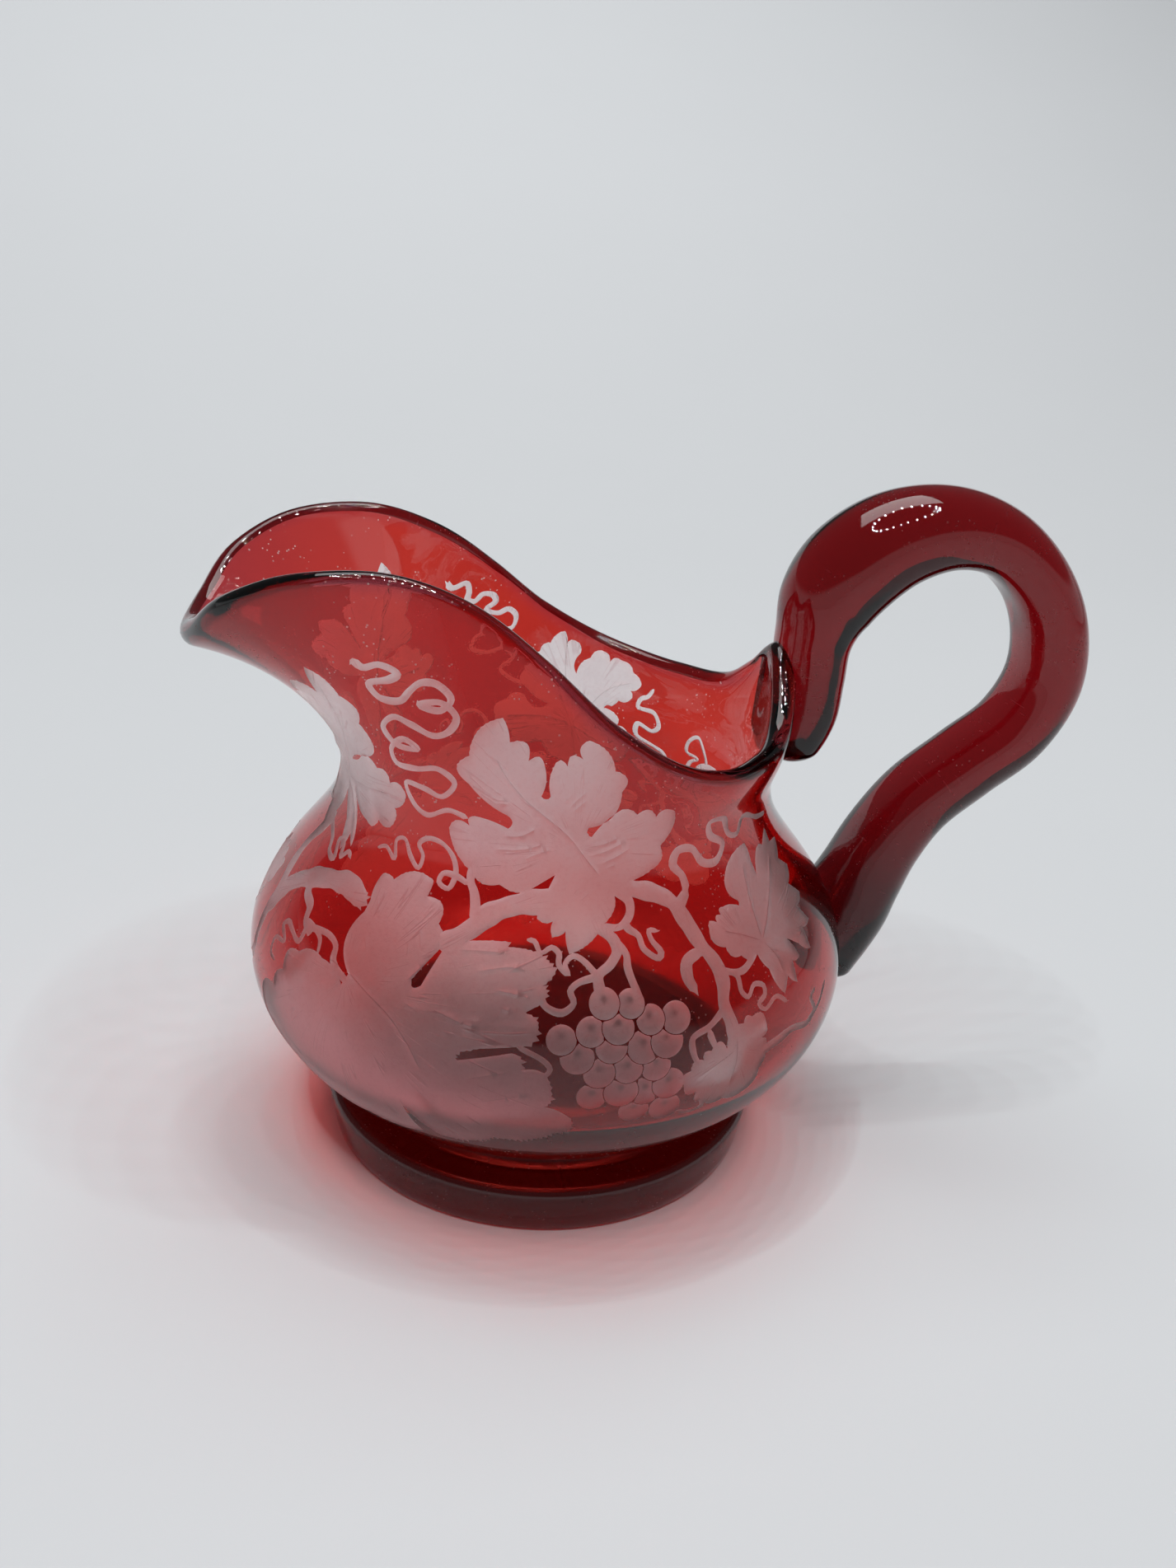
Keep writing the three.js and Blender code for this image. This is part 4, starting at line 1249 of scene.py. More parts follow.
@dataclass
class Effects:
    """The surface effects that several glasses share, each a node group. Scales are per metre."""

    pit_scale: float = 2600.0
    pits: tuple[float, float] = (0.60, 0.72)
    speck_scale: float = 1500.0
    speck_size_scale: float = 900.0
    speck_least: float = 1.02
    speck_spread: float = 0.20
    speck_patch_scale: float = 210.0
    speck_patches: tuple[float, float] = (0.52, 0.60)
    smear_scale: float = 48.0
    smears: tuple[float, float] = (0.42, 0.78)
    drawn_out: float = 0.45
    streaks: tuple[float, float] = (0.32, 0.68)
    stroke_stretch: float = 0.035
    scratch_width: tuple[float, float] = (0.006, 0.024)
    scratch_patch_scale: float = 260.0
    scratch_patches: tuple[float, float] = (0.46, 0.60)
    scratch_tone: float = 0.55
    scratch_depth: float = 0.8
    grit_scale: float = 1800.0
    grit: tuple[float, float] = (0.46, 0.70)
    grit_tone: float = 0.22
    grit_depth: float = 0.4
    tone_patch_scale: float = 130.0
    tone_patches: tuple[float, float] = (0.3, 0.7)
    tone_low: float = 0.72

    def __post_init__(self) -> None:
        """Builds the groups."""
        self.hand_polish = self.build_hand_polish()
        self.settled_dust = self.build_settled_dust()
        self.gather_streaks = self.build_gather_streaks()
        self.wheel_grain = self.build_wheel_grain()

    def build_hand_polish(self) -> bpy.types.NodeTree:
        """The slow waves of hand-worked glass and the fine pitting of wear, as a height."""
        inputs = {"Wave Scale": (FLOAT, 60.0), "Wave Height": (FLOAT, 0.5), "Pit Height": (FLOAT, 0.008)}
        tree, kit, start, end = shader_group("hand_polish", inputs, {"Height": FLOAT})
        where = kit.place()
        waves = kit.math("MULTIPLY", kit.noise(where, start["Wave Scale"], 1.0), start["Wave Height"])
        pits = kit.ramp(kit.noise(where, self.pit_scale, 2.0), *self.pits)
        height = kit.math("ADD", waves, kit.math("MULTIPLY", pits, start["Pit Height"]))
        kit.feed(end, {"Height": height})
        return tree

    def build_settled_dust(self) -> bpy.types.NodeTree:
        """Dust specks, in patches, and smears, each as a mask."""
        inputs = {"Specks": (FLOAT, 1.0), "Smear": (FLOAT, 1.0)}
        tree, kit, start, end = shader_group("settled_dust", inputs, {"Mask": FLOAT, "Smear": FLOAT})
        where = kit.place()
        cells = kit.add("ShaderNodeTexVoronoi", {"Vector": where, "Scale": self.speck_scale, "Randomness": 1.0})
        middle = kit.ramp(cells.outputs["Distance"], 0.0, 1.0, 1.0, 0.0)
        size = kit.math("MULTIPLY", kit.noise(where, self.speck_size_scale, 1.0), self.speck_spread)
        speck = kit.math("GREATER_THAN", middle, kit.math("SUBTRACT", self.speck_least, size))
        patches = kit.ramp(kit.noise(where, self.speck_patch_scale, 2.0), *self.speck_patches)
        speck = kit.math("MULTIPLY", kit.math("MULTIPLY", speck, patches), start["Specks"])
        smear = kit.ramp(kit.noise(where, self.smear_scale, 5.0, 0.62), *self.smears)
        kit.feed(end, {"Mask": speck, "Smear": kit.math("MULTIPLY", smear, start["Smear"])})
        return tree

    def build_gather_streaks(self) -> bpy.types.NodeTree:
        """A colour that varies as the ruby layer does where the gather was drawn out."""
        inputs = {"Thin": (COLOUR, (0.5, 0.0, 0.0, 1)), "Thick": (COLOUR, (0.4, 0.0, 0.0, 1)), "Scale": (FLOAT, 30.0)}
        tree, kit, start, end = shader_group("gather_streaks", inputs, {"Color": COLOUR})
        where = kit.place()
        drawn = kit.add("ShaderNodeMapping", {"Vector": where, "Scale": (1.0, 1.0, self.drawn_out)}).outputs[0]
        streak = kit.ramp(kit.noise(drawn, start["Scale"], 3.0, 0.55), *self.streaks)
        kit.feed(end, {"Color": kit.blend(streak, start["Thin"], start["Thick"])})
        return tree

    def build_wheel_grain(self) -> bpy.types.NodeTree:
        """The strokes that the wheel left, as a tone and a height, from the stroke attribute."""
        inputs = {"Stroke Scale": (FLOAT, 1.2)}
        tree, kit, start, end = shader_group("wheel_grain", inputs, {"Tone": FLOAT, "Height": FLOAT})
        stroke = kit.noted("stroke", "Vector")
        where = kit.place()
        drawn = kit.add("ShaderNodeMapping", {"Vector": stroke, "Scale": (1.0, self.stroke_stretch, 1.0)}).outputs[0]
        lines = kit.noise(drawn, start["Stroke Scale"], 1.0, 0.4)
        from_line = kit.math("ABSOLUTE", kit.math("SUBTRACT", lines, 0.5))
        scratch = kit.ramp(from_line, *self.scratch_width, 1.0, 0.0)
        patches = kit.ramp(kit.noise(where, self.scratch_patch_scale, 1.0), *self.scratch_patches)
        scratch = kit.math("MULTIPLY", scratch, patches)
        grit = kit.noise(where, self.grit_scale, 3.0, 0.7)
        tone = kit.ramp(kit.noise(where, self.tone_patch_scale, 2.0), *self.tone_patches, self.tone_low, 1.0)
        tone = kit.math("SUBTRACT", tone, kit.math("MULTIPLY", scratch, self.scratch_tone))
        tone = kit.math("SUBTRACT", tone, kit.ramp(grit, *self.grit, 0.0, self.grit_tone))
        height = kit.math("MULTIPLY", grit, self.grit_depth)
        height = kit.math("SUBTRACT", height, kit.math("MULTIPLY", scratch, self.scratch_depth))
        kit.feed(end, {"Tone": tone, "Height": height})
        return tree


def let_through(kit: NodeKit, shader: bpy.types.Node, colour: Colour) -> None:
    """Lets a glass cast a coloured shadow.

    Args:
        shader: its Principled shader.
        colour: what one surface lets through.
    """
    shadow = kit.add("ShaderNodeLightPath").outputs["Is Shadow Ray"]
    clear = kit.add("ShaderNodeBsdfTransparent", {"Color": (*colour, 1)})
    mix = kit.add("ShaderNodeMixShader", {0: shadow, 1: shader.outputs[0], 2: clear.outputs[0]})
    kit.feed(kit.tree.nodes["Material Output"], {"Surface": mix.outputs[0]})


@dataclass(frozen=True)
class PolishedGlass:
    """A fire-polished glass: its surface colour, which tints what passes, and what its body takes away."""

    name: str
    thin: Colour
    thick: Colour
    roughness: float = 0.006
    ior: float = 1.51
    wave_scale: float = 70.0
    wave_height: float = 0.35
    body: Colour | None = None
    density: float = 0.0
    specks: float = 1.0
    # A darker colour: deeper ruby along the bowl's rim and lip, and painted shade on the handle's leg and tail.
    gathered_and_shade: Colour | None = None
    rubbed_matt: float = 0.0
    matt_band: tuple[float, float] = (0.0135, 0.0195)
    matt_scale: float = 160.0
    matt_sway: float = 0.006
    relief: float = 0.0004
    dust_colour: Colour = (0.72, 0.62, 0.6)
    dust_cover: float = 0.35
    dust_roughness: float = 0.5
    smear_roughness: float = 0.012
    cast_share: float = 0.56
    cast_least: float = 0.06

    def build(self, effects: Effects) -> bpy.types.Material:
        """Makes the material.

        Args:
            effects: the shared effects.

        Returns:
            The material.
        """
        material, kit, shader = principled(self.name)
        colour = kit.group(effects.gather_streaks, {"Thin": (*self.thin, 1), "Thick": (*self.thick, 1)})["Color"]
        dust = kit.group(effects.settled_dust, {"Specks": self.specks})
        waves = kit.group(effects.hand_polish, {"Wave Scale": self.wave_scale, "Wave Height": self.wave_height})
        # A darker colour where the mesh notes it: deeper ruby along the bowl's rim and lip, and painted shade low on
        # the handle's leg and in its tail.
        if self.gathered_and_shade:
            colour = kit.blend(kit.noted("gathered_and_shade"), colour, (*self.gathered_and_shade, 1))
        colour = kit.blend(kit.math("MULTIPLY", dust["Mask"], self.dust_cover), colour, (*self.dust_colour, 1))
        rough = kit.math("ADD", kit.math("MULTIPLY", dust["Smear"], self.smear_roughness), self.roughness)
        rough = kit.math("ADD", rough, kit.math("MULTIPLY", dust["Mask"], self.dust_roughness))
        if self.rubbed_matt:
            where = kit.place()
            height = kit.add("ShaderNodeSeparateXYZ", {"Vector": where}).outputs["Z"]
            sway = kit.math("MULTIPLY", kit.noise(where, self.matt_scale, 2.0), self.matt_sway)
            uneven = kit.math("ADD", height, sway)
            matt = kit.math("MULTIPLY", kit.ramp(uneven, *self.matt_band, 1.0, 0.0), self.rubbed_matt)
            rough = kit.math("ADD", rough, matt)
        kit.feed(shader, {"Base Color": colour, "Roughness": rough, "Normal": kit.bump(waves["Height"], self.relief),
                          "Transmission Weight": 1.0, "IOR": self.ior})
        cast = tuple(self.cast_share * math.sqrt(c) + self.cast_least for c in self.thin)
        let_through(kit, shader, cast)
        if self.body:
            absorb = kit.add("ShaderNodeVolumeAbsorption", {"Color": (*self.body, 1), "Density": self.density})
            kit.feed(kit.tree.nodes["Material Output"], {"Volume": absorb.outputs[0]})
        return material


@dataclass(frozen=True)
class EngravedGlass:
    """The clear glass that the wheel laid bare and left frosted, with painted shade that makes it darker and redder low
    down, away from the handle.
    """

    name: str
    light: Colour
    shade: Colour
    # A colour of painted shade, multiplied into the frost low down.
    painted_low_shade: Colour
    roughness: float = 0.46
    transmission: float = 0.94
    ior: float = 1.5
    haze: float = 0.35
    haze_roughness: float = 0.35
    # The next two ranges place the painted shade: below about 20 to 44 mm, and on the side away from the handle.
    painted_shade_height: tuple[float, float] = (0.020, 0.044)
    painted_shade_across: tuple[float, float] = (0.008, 0.014)
    eye: Colour = (0.36, 0.22, 0.22)
    eye_share: float = 0.62
    eye_blend: tuple[float, float] = (0.1, 0.9)
    tone_roughness: float = 0.12
    eye_smoother: float = 0.25
    relief: float = 0.00025
    cast_share: float = 0.6

    def build(self, effects: Effects) -> bpy.types.Material:
        """Makes the material.

        Args:
            effects: the shared effects.

        Returns:
            The material.
        """
        material, kit, shader = principled(self.name)
        grain = kit.group(effects.wheel_grain, {})
        tone = grain["Tone"]
        polish = kit.noted("polish")
        where = kit.place()
        place = kit.add("ShaderNodeSeparateXYZ", {"Vector": where}).outputs
        # Painted shade: low down and away from the handle, the frost is multiplied by a darker, redder colour.
        low = kit.ramp(place["Z"], *self.painted_shade_height, 1.0, 0.0)
        painted_low_shade = kit.math("MULTIPLY", low, kit.ramp(place["X"], *self.painted_shade_across, 1.0, 0.0))
        colour = kit.blend(tone, (*self.shade, 1), (*self.light, 1))
        colour = kit.blend(painted_low_shade, colour, (*self.painted_low_shade, 1), "MULTIPLY")
        colour = kit.blend(kit.ramp(polish, *self.eye_blend, 0.0, self.eye_share), colour, (*self.eye, 1))
        rough = kit.math("ADD", kit.math("MULTIPLY", tone, self.tone_roughness), self.roughness)
        rough = kit.math("SUBTRACT", rough, kit.math("MULTIPLY", polish, self.eye_smoother))
        kit.feed(shader, {"Base Color": colour, "Roughness": rough, "Normal": kit.bump(grain["Height"], self.relief),
                          "Transmission Weight": self.transmission, "IOR": self.ior,
                          "Sheen Weight": self.haze, "Sheen Roughness": self.haze_roughness})
        let_through(kit, shader, tuple(self.cast_share * c for c in self.light))
        return material


RUBY_LAYER = PolishedGlass("ruby_layer", (0.54, 0.0024, 0.0012), (0.42, 0.0012, 0.0006), wave_scale=55.0,
                           gathered_and_shade=(0.09, 0.002, 0.004), rubbed_matt=0.34)
# The third colour is painted shade, multiplied into the frost low down.
FROST = EngravedGlass("engraved_frost", (1.0, 0.91, 0.92), (0.70, 0.47, 0.49), (0.94, 0.37, 0.40))
CLEAR_INSIDE = PolishedGlass("clear_inside", (0.97, 0.93, 0.92), (0.95, 0.90, 0.89), wave_scale=45.0, specks=0.0)
# The handle's gathered colour is painted shade, which the leg and the tail take darker.
HANDLE_GLASS = PolishedGlass("handle_glass", (0.60, 0.032, 0.048), (0.50, 0.018, 0.032), wave_scale=90.0,
                             wave_height=0.5, body=(0.58, 0.03, 0.08), density=192.0, gathered_and_shade=(0.15, 0.012, 0.02))
FOOT_GLASS = PolishedGlass("deep_ruby_glass", (0.72, 0.03, 0.03), (0.64, 0.02, 0.02), wave_scale=60.0,
                           body=(0.62, 0.02, 0.03), density=175.0)


@contextmanager
def worked(mesh: bpy.types.Mesh) -> Iterator[bmesh.types.BMesh]:
    """A mesh opened for work on its faces and edges, and written back after it."""
    work = bmesh.new()
    work.from_mesh(mesh)
    yield work
    work.to_mesh(mesh)
    work.free()


def blunter_than(degrees: float) -> Callable[[bmesh.types.BMEdge], bool]:
    """A rule that rounds an edge where its faces meet at less than an angle."""
    return lambda edge: edge.calc_face_angle(0.0) < math.radians(degrees)


def finished(mesh: bpy.types.Mesh, apart: float, rounded: Callable[[bmesh.types.BMEdge], bool]) -> None:
    """Merges points that lie together, turns the faces outwards and shades the mesh smooth, but for some edges.

    Args:
        mesh: a closed mesh.
        apart: how far apart points may lie that become one, in metres.
        rounded: says of an edge whether it is shaded smooth.
    """
    with worked(mesh) as work:
        bmesh.ops.remove_doubles(work, verts=work.verts, dist=apart)
        bmesh.ops.recalc_face_normals(work, faces=work.faces)
        for face in work.faces:
            face.smooth = True
        for edge in work.edges:
            edge.smooth = rounded(edge)


def outwards(mesh: bpy.types.Mesh) -> None:
    """Turns a closed mesh's faces outwards."""
    with worked(mesh) as work:
        bmesh.ops.recalc_face_normals(work, faces=work.faces)


def note(mesh: bpy.types.Mesh, name: str, values: np.ndarray) -> None:
    """Stores a value or a vector at each point, nought past the end of the values."""
    full = np.zeros((len(mesh.vertices), *values.shape[1:]), np.float32)
    full[:len(values)] = values
    kind, key = ("FLOAT", "value") if values.ndim == 1 else ("FLOAT_VECTOR", "vector")
    mesh.attributes.new(name, kind, "POINT").data.foreach_set(key, full.ravel())


class Finish(IntEnum):
    """The bowl's finishes, in the order of its material slots."""

    RUBY = 0
    FROST = 1
    CLEAR = 2


@dataclass
class Shell:
    """A wall that grows ring by ring: its points, its faces, each face's finish, and its last ring."""

    points: list[np.ndarray]
    faces: list[list[int]]
    finishes: list[int]
    ring: list[int]

    def __post_init__(self) -> None:
        """Counts the points."""
        self.count = sum(len(part) for part in self.points)

    def grow(self, points: np.ndarray, finish: Finish) -> None:
        """Adds a ring of points and joins the last ring to it."""
        after = list(range(self.count, self.count + len(points)))
        self.faces += [list(quad) for quad in zip(self.ring, self.ring[1:], after[1:], after)]
        self.finishes += [finish] * (len(points) - 1)
        self.points.append(points)
        self.ring = after
        self.count += len(points)

    def cap(self, ring: list[int], height: float, finish: Finish) -> None:
        """Closes a ring with a fan of triangles to a point on the axis."""
        self.faces += [[a, b, self.count] for a, b in zip(ring, ring[1:])]
        self.finishes += [finish] * (len(ring) - 1)
        self.points.append(np.array([[0, 0, height]]))
        self.count += 1


@dataclass
class Bowl:
    """The blown bowl: ruby outside, clear inside, and frosted where the wheel cut."""

    form: BowlForm
    wheel: Wheel
    edge_rows: int = 10
    throat_rows: int = 21
    body_rows: int = 64
    well_rows: int = 8
    well_drop: float = 1.1
    well_share: float = 0.45
    tongue_start: float = 150.0
    tongue_blend: float = 14.0
    tongue_paler: float = 0.75
    merge: float = 2e-6

    def build(self, effects: Effects) -> bpy.types.Object:
        """Builds and dresses the bowl.

        Args:
            effects: the shared effects.

        Returns:
            The bowl.
        """
        cut = self.wheel.cut()
        turns = cut.turn[cut.rim_ring]
        shell = self.shell(cut, turns)
        mesh = bpy.data.meshes.new("bowl")
        mesh.from_pydata((np.concatenate(shell.points) * MM).tolist(), [], shell.faces)
        mesh.polygons.foreach_set("material_index", shell.finishes)
        on_tongue = np.clip((np.abs(np.degrees(turns)) - self.tongue_start) / self.tongue_blend, 0, 1)
        edge_gathered = np.tile(1 - self.tongue_paler * on_tongue, self.edge_rows)
        note(mesh, "polish", cut.polish)
        note(mesh, "stroke", cut.stroke)
        note(mesh, "gathered_and_shade", np.concatenate([cut.gathered_and_shade, edge_gathered]))
        finished(mesh, self.merge, self.within_finish)
        made = new_object("bowl_glass", mesh)
        for glass in (RUBY_LAYER, FROST, CLEAR_INSIDE):
            mesh.materials.append(glass.build(effects))
        return made

    def shell(self, cut: CutWall, turns: np.ndarray) -> Shell:
        """The whole wall: the engraved outside, the rim's edge, the inside, the well, and the seat underneath.

        Args:
            cut: the outer side.
            turns: the turn of each point of a ring.

        Returns:
            The wall.
        """
        outside = np.where(cut.engraved, Finish.FROST, Finish.RUBY).tolist()
        shell = Shell([cut.points], cut.triangles.tolist(), outside, cut.rim_ring)
        for row in range(1, self.edge_rows + 1):
            shell.grow(self.form.edge_ring(turns, 180.0 * row / self.edge_rows), Finish.RUBY)
        for place in (*np.linspace(3, 2, self.throat_rows)[1:], *np.linspace(2, 0, self.body_rows)[1:]):
            shell.grow(self.form.inner(turns, np.full(len(turns), place)), Finish.CLEAR)
        last = shell.points[-1]
        height = last[0, 2]
        for row in range(1, self.well_rows):
            share = row / self.well_rows
            ring = last * (1 - share)
            ring[:, 2] = height - self.well_drop * (1 - (1 - min(share / self.well_share, 1.0)) ** 2)
            shell.grow(ring, Finish.CLEAR)
        shell.cap(shell.ring, height - self.well_drop, Finish.CLEAR)
        shell.cap(cut.seat_ring[::-1], self.form.seat_height, Finish.RUBY)
        return shell

    def within_finish(self, edge: bmesh.types.BMEdge) -> bool:
        """Whether an edge is anywhere but between ruby and frosted glass."""
        return {face.material_index for face in edge.link_faces} != {Finish.RUBY, Finish.FROST}


@dataclass(frozen=True)
class RodStation:
    """A station of the handle: its middle in the plane of the loop, and half its size in that plane and across it."""

    out: float
    up: float
    depth: float
    width: float


TAIL_ON_NECK = (
    RodStation(2.0, 0.2, 2.6, 4.4),
    RodStation(3.4, 3.4, 3.7, 5.6),
    RodStation(4.4, 7.4, 4.4, 6.1),
    RodStation(4.7, 12.2, 4.5, 6.2),
)
BOW_OVER_RIM = (
    RodStation(3.9, 1.0, 4.7, 6.3),
    RodStation(5.0, 5.6, 5.9, 6.8),
    RodStation(7.8, 10.0, 6.4, 7.1),
    RodStation(13.5, 14.1, 6.1, 6.9),
    RodStation(21.1, 15.7, 5.3, 6.4),
    RodStation(28.5, 13.9, 4.6, 6.0),
    RodStation(34.6, 8.7, 4.4, 5.9),
    RodStation(38.0, 1.9, 4.6, 5.9),
    RodStation(38.4, -5.4, 4.8, 5.9),
)
LEG_OVER_BELLY = (
    RodStation(24.2, 29.1, 4.8, 6.0),
    RodStation(18.0, 23.9, 4.8, 6.0),
    RodStation(11.6, 18.4, 4.9, 6.0),
    RodStation(7.6, 12.4, 5.2, 6.1),
    RodStation(5.2, 7.0, 5.5, 6.4),
    RodStation(3.4, 2.8, 5.8, 7.0),
    RodStation(1.4, -1.2, 5.4, 7.6),
    RodStation(0.2, -4.6, 4.6, 7.4),
    RodStation(-0.6, -7.4, 4.0, 6.8),
)


def applied(made: bpy.types.Object) -> None:
    """Turns an object's modifiers into plain mesh."""
    graph = bpy.context.evaluated_depsgraph_get()
    mesh = bpy.data.meshes.new_from_object(made.evaluated_get(graph))
    made.modifiers.clear()
    made.data = mesh


class GridTree:
    """A geometry tree that lays a grid round a line, a row of it for each point of the line, and dresses it."""

    name = "grid"
    own_inputs: dict[str, str] = {}
    merge = 2e-6

    def __init__(self) -> None:
        """Builds the tree."""
        self.tree = bpy.data.node_groups.new(self.name, "GeometryNodeTree")
        self.kit = kit = NodeKit(self.tree)
        face = self.tree.interface
        face.new_socket("Geometry", in_out="INPUT", socket_type="NodeSocketGeometry")
        inputs = {"Rows": "NodeSocketInt", "Columns": "NodeSocketInt", "Glass": "NodeSocketMaterial", **self.own_inputs}
        self.keys = {key: face.new_socket(key, in_out="INPUT", socket_type=kind).identifier
                     for key, kind in inputs.items()}
        face.new_socket("Geometry", in_out="OUTPUT", socket_type="NodeSocketGeometry")
        self.start = self.tree.nodes.new("NodeGroupInput").outputs
        end = self.tree.nodes.new("NodeGroupOutput")
        across = kit.math("ADD", self.start["Columns"], 1.0)
        grid = kit.add("GeometryNodeMeshGrid", {"Vertices X": self.start["Rows"], "Vertices Y": across})
        number = kit.add("GeometryNodeInputIndex").outputs[0]
        row = kit.math("FLOOR", kit.math("DIVIDE", kit.math("ADD", number, 0.5), across))
        column = kit.math("SUBTRACT", number, kit.math("MULTIPLY", row, across))
        angle = kit.math("MULTIPLY", kit.math("DIVIDE", column, self.start["Columns"]), 2 * math.pi)
        place = {"Geometry": grid.outputs["Mesh"], "Position": self.point(row, angle)}
        placed = kit.add("GeometryNodeSetPosition", place).outputs[0]
        merged = kit.add("GeometryNodeMergeByDistance", {"Geometry": placed, "Distance": self.merge}).outputs[0]
        real = kit.add("GeometryNodeRealizeInstances", {"Geometry": merged}).outputs[0]
        dressed = kit.add("GeometryNodeSetMaterial", {"Geometry": real, "Material": self.start["Glass"]})
        kit.feed(end, {0: dressed.outputs[0]})

    def point(self, row: bpy.types.NodeSocket, angle: bpy.types.NodeSocket) -> bpy.types.NodeSocket:
        """Where a point of the grid goes, by its row and its angle round the line."""
        raise NotImplementedError

    def sampled(self, vector: bpy.types.NodeSocket, row: bpy.types.NodeSocket) -> bpy.types.NodeSocket:
        """A vector of the line, read at the point of a row."""
        values = {"Geometry": self.start["Geometry"], "Value": vector, "Index": row}
        settings = {"data_type": "FLOAT_VECTOR", "domain": "POINT"}
        return self.kit.add("GeometryNodeSampleIndex", values, settings).outputs[0]

    def run(self, made: bpy.types.Object, values: dict[str, object]) -> None:
        """Lays the grid round an object's line, and keeps what it makes as plain mesh.

        Args:
            made: the object.
            values: what the tree's inputs take.
        """
        modifier = made.modifiers.new(self.name, "NODES")
        modifier.node_group = self.tree
        for key, value in values.items():
            modifier[self.keys[key]] = value
        applied(made)


class SweepTree(GridTree):
    """Sweeps the handle's section along its stations: oval, and flatter on the inside of the loop."""

    name = "rod_sweep"
    own_inputs = {"Inner Flatness": "NodeSocketFloat"}

    def stored(self, name: str, row: bpy.types.NodeSocket) -> bpy.types.NodeSocket:
        """A vector stored at a station."""
        named = self.kit.add("GeometryNodeInputNamedAttribute", {"Name": name}, {"data_type": "FLOAT_VECTOR"})
        return self.sampled(named.outputs[0], row)

    def bent(self, vector: bpy.types.NodeSocket, value: object, power: object) -> bpy.types.NodeSocket:
        """A vector times a sine or cosine that is raised to a power, its sign kept."""
        size = self.kit.math("POWER", self.kit.math("ABSOLUTE", value), power)
        size = self.kit.math("MULTIPLY", self.kit.math("SIGN", value), size)
        return self.kit.add("ShaderNodeVectorMath", {0: vector, "Scale": size}, {"operation": "SCALE"}).outputs[0]

    def sum(self, first: bpy.types.NodeSocket, second: bpy.types.NodeSocket) -> bpy.types.NodeSocket:
        """Two vectors added."""
        return self.kit.add("ShaderNodeVectorMath", {0: first, 1: second}, {"operation": "ADD"}).outputs[0]

    def point(self, row: bpy.types.NodeSocket, angle: bpy.types.NodeSocket) -> bpy.types.NodeSocket:
        """A point of the rod's skin."""
        kit = self.kit
        cosine, sine = kit.math("COSINE", angle), kit.math("SINE", angle)
        inside = kit.math("LESS_THAN", cosine, 0.0)
        flatter = kit.math("SUBTRACT", kit.math("DIVIDE", 2.0, self.start["Inner Flatness"]), 1.0)
        power = kit.math("ADD", 1.0, kit.math("MULTIPLY", inside, flatter))
        out = self.bent(self.stored("deep", row), cosine, power)
        over = self.bent(self.stored("wide", row), sine, power)
        return self.sum(self.stored("middle", row), self.sum(out, over))


class TurnTree(GridTree):
    """Turns a half outline round the jug's axis."""

    name = "foot_turning"

    def point(self, row: bpy.types.NodeSocket, angle: bpy.types.NodeSocket) -> bpy.types.NodeSocket:
        """A point of the outline, turned."""
        outline = self.sampled(self.kit.add("GeometryNodeInputPosition").outputs[0], row)
        turned = {"Vector": outline, "Angle": angle}
        return self.kit.add("ShaderNodeVectorRotate", turned, {"rotation_type": "Z_AXIS"}).outputs[0]


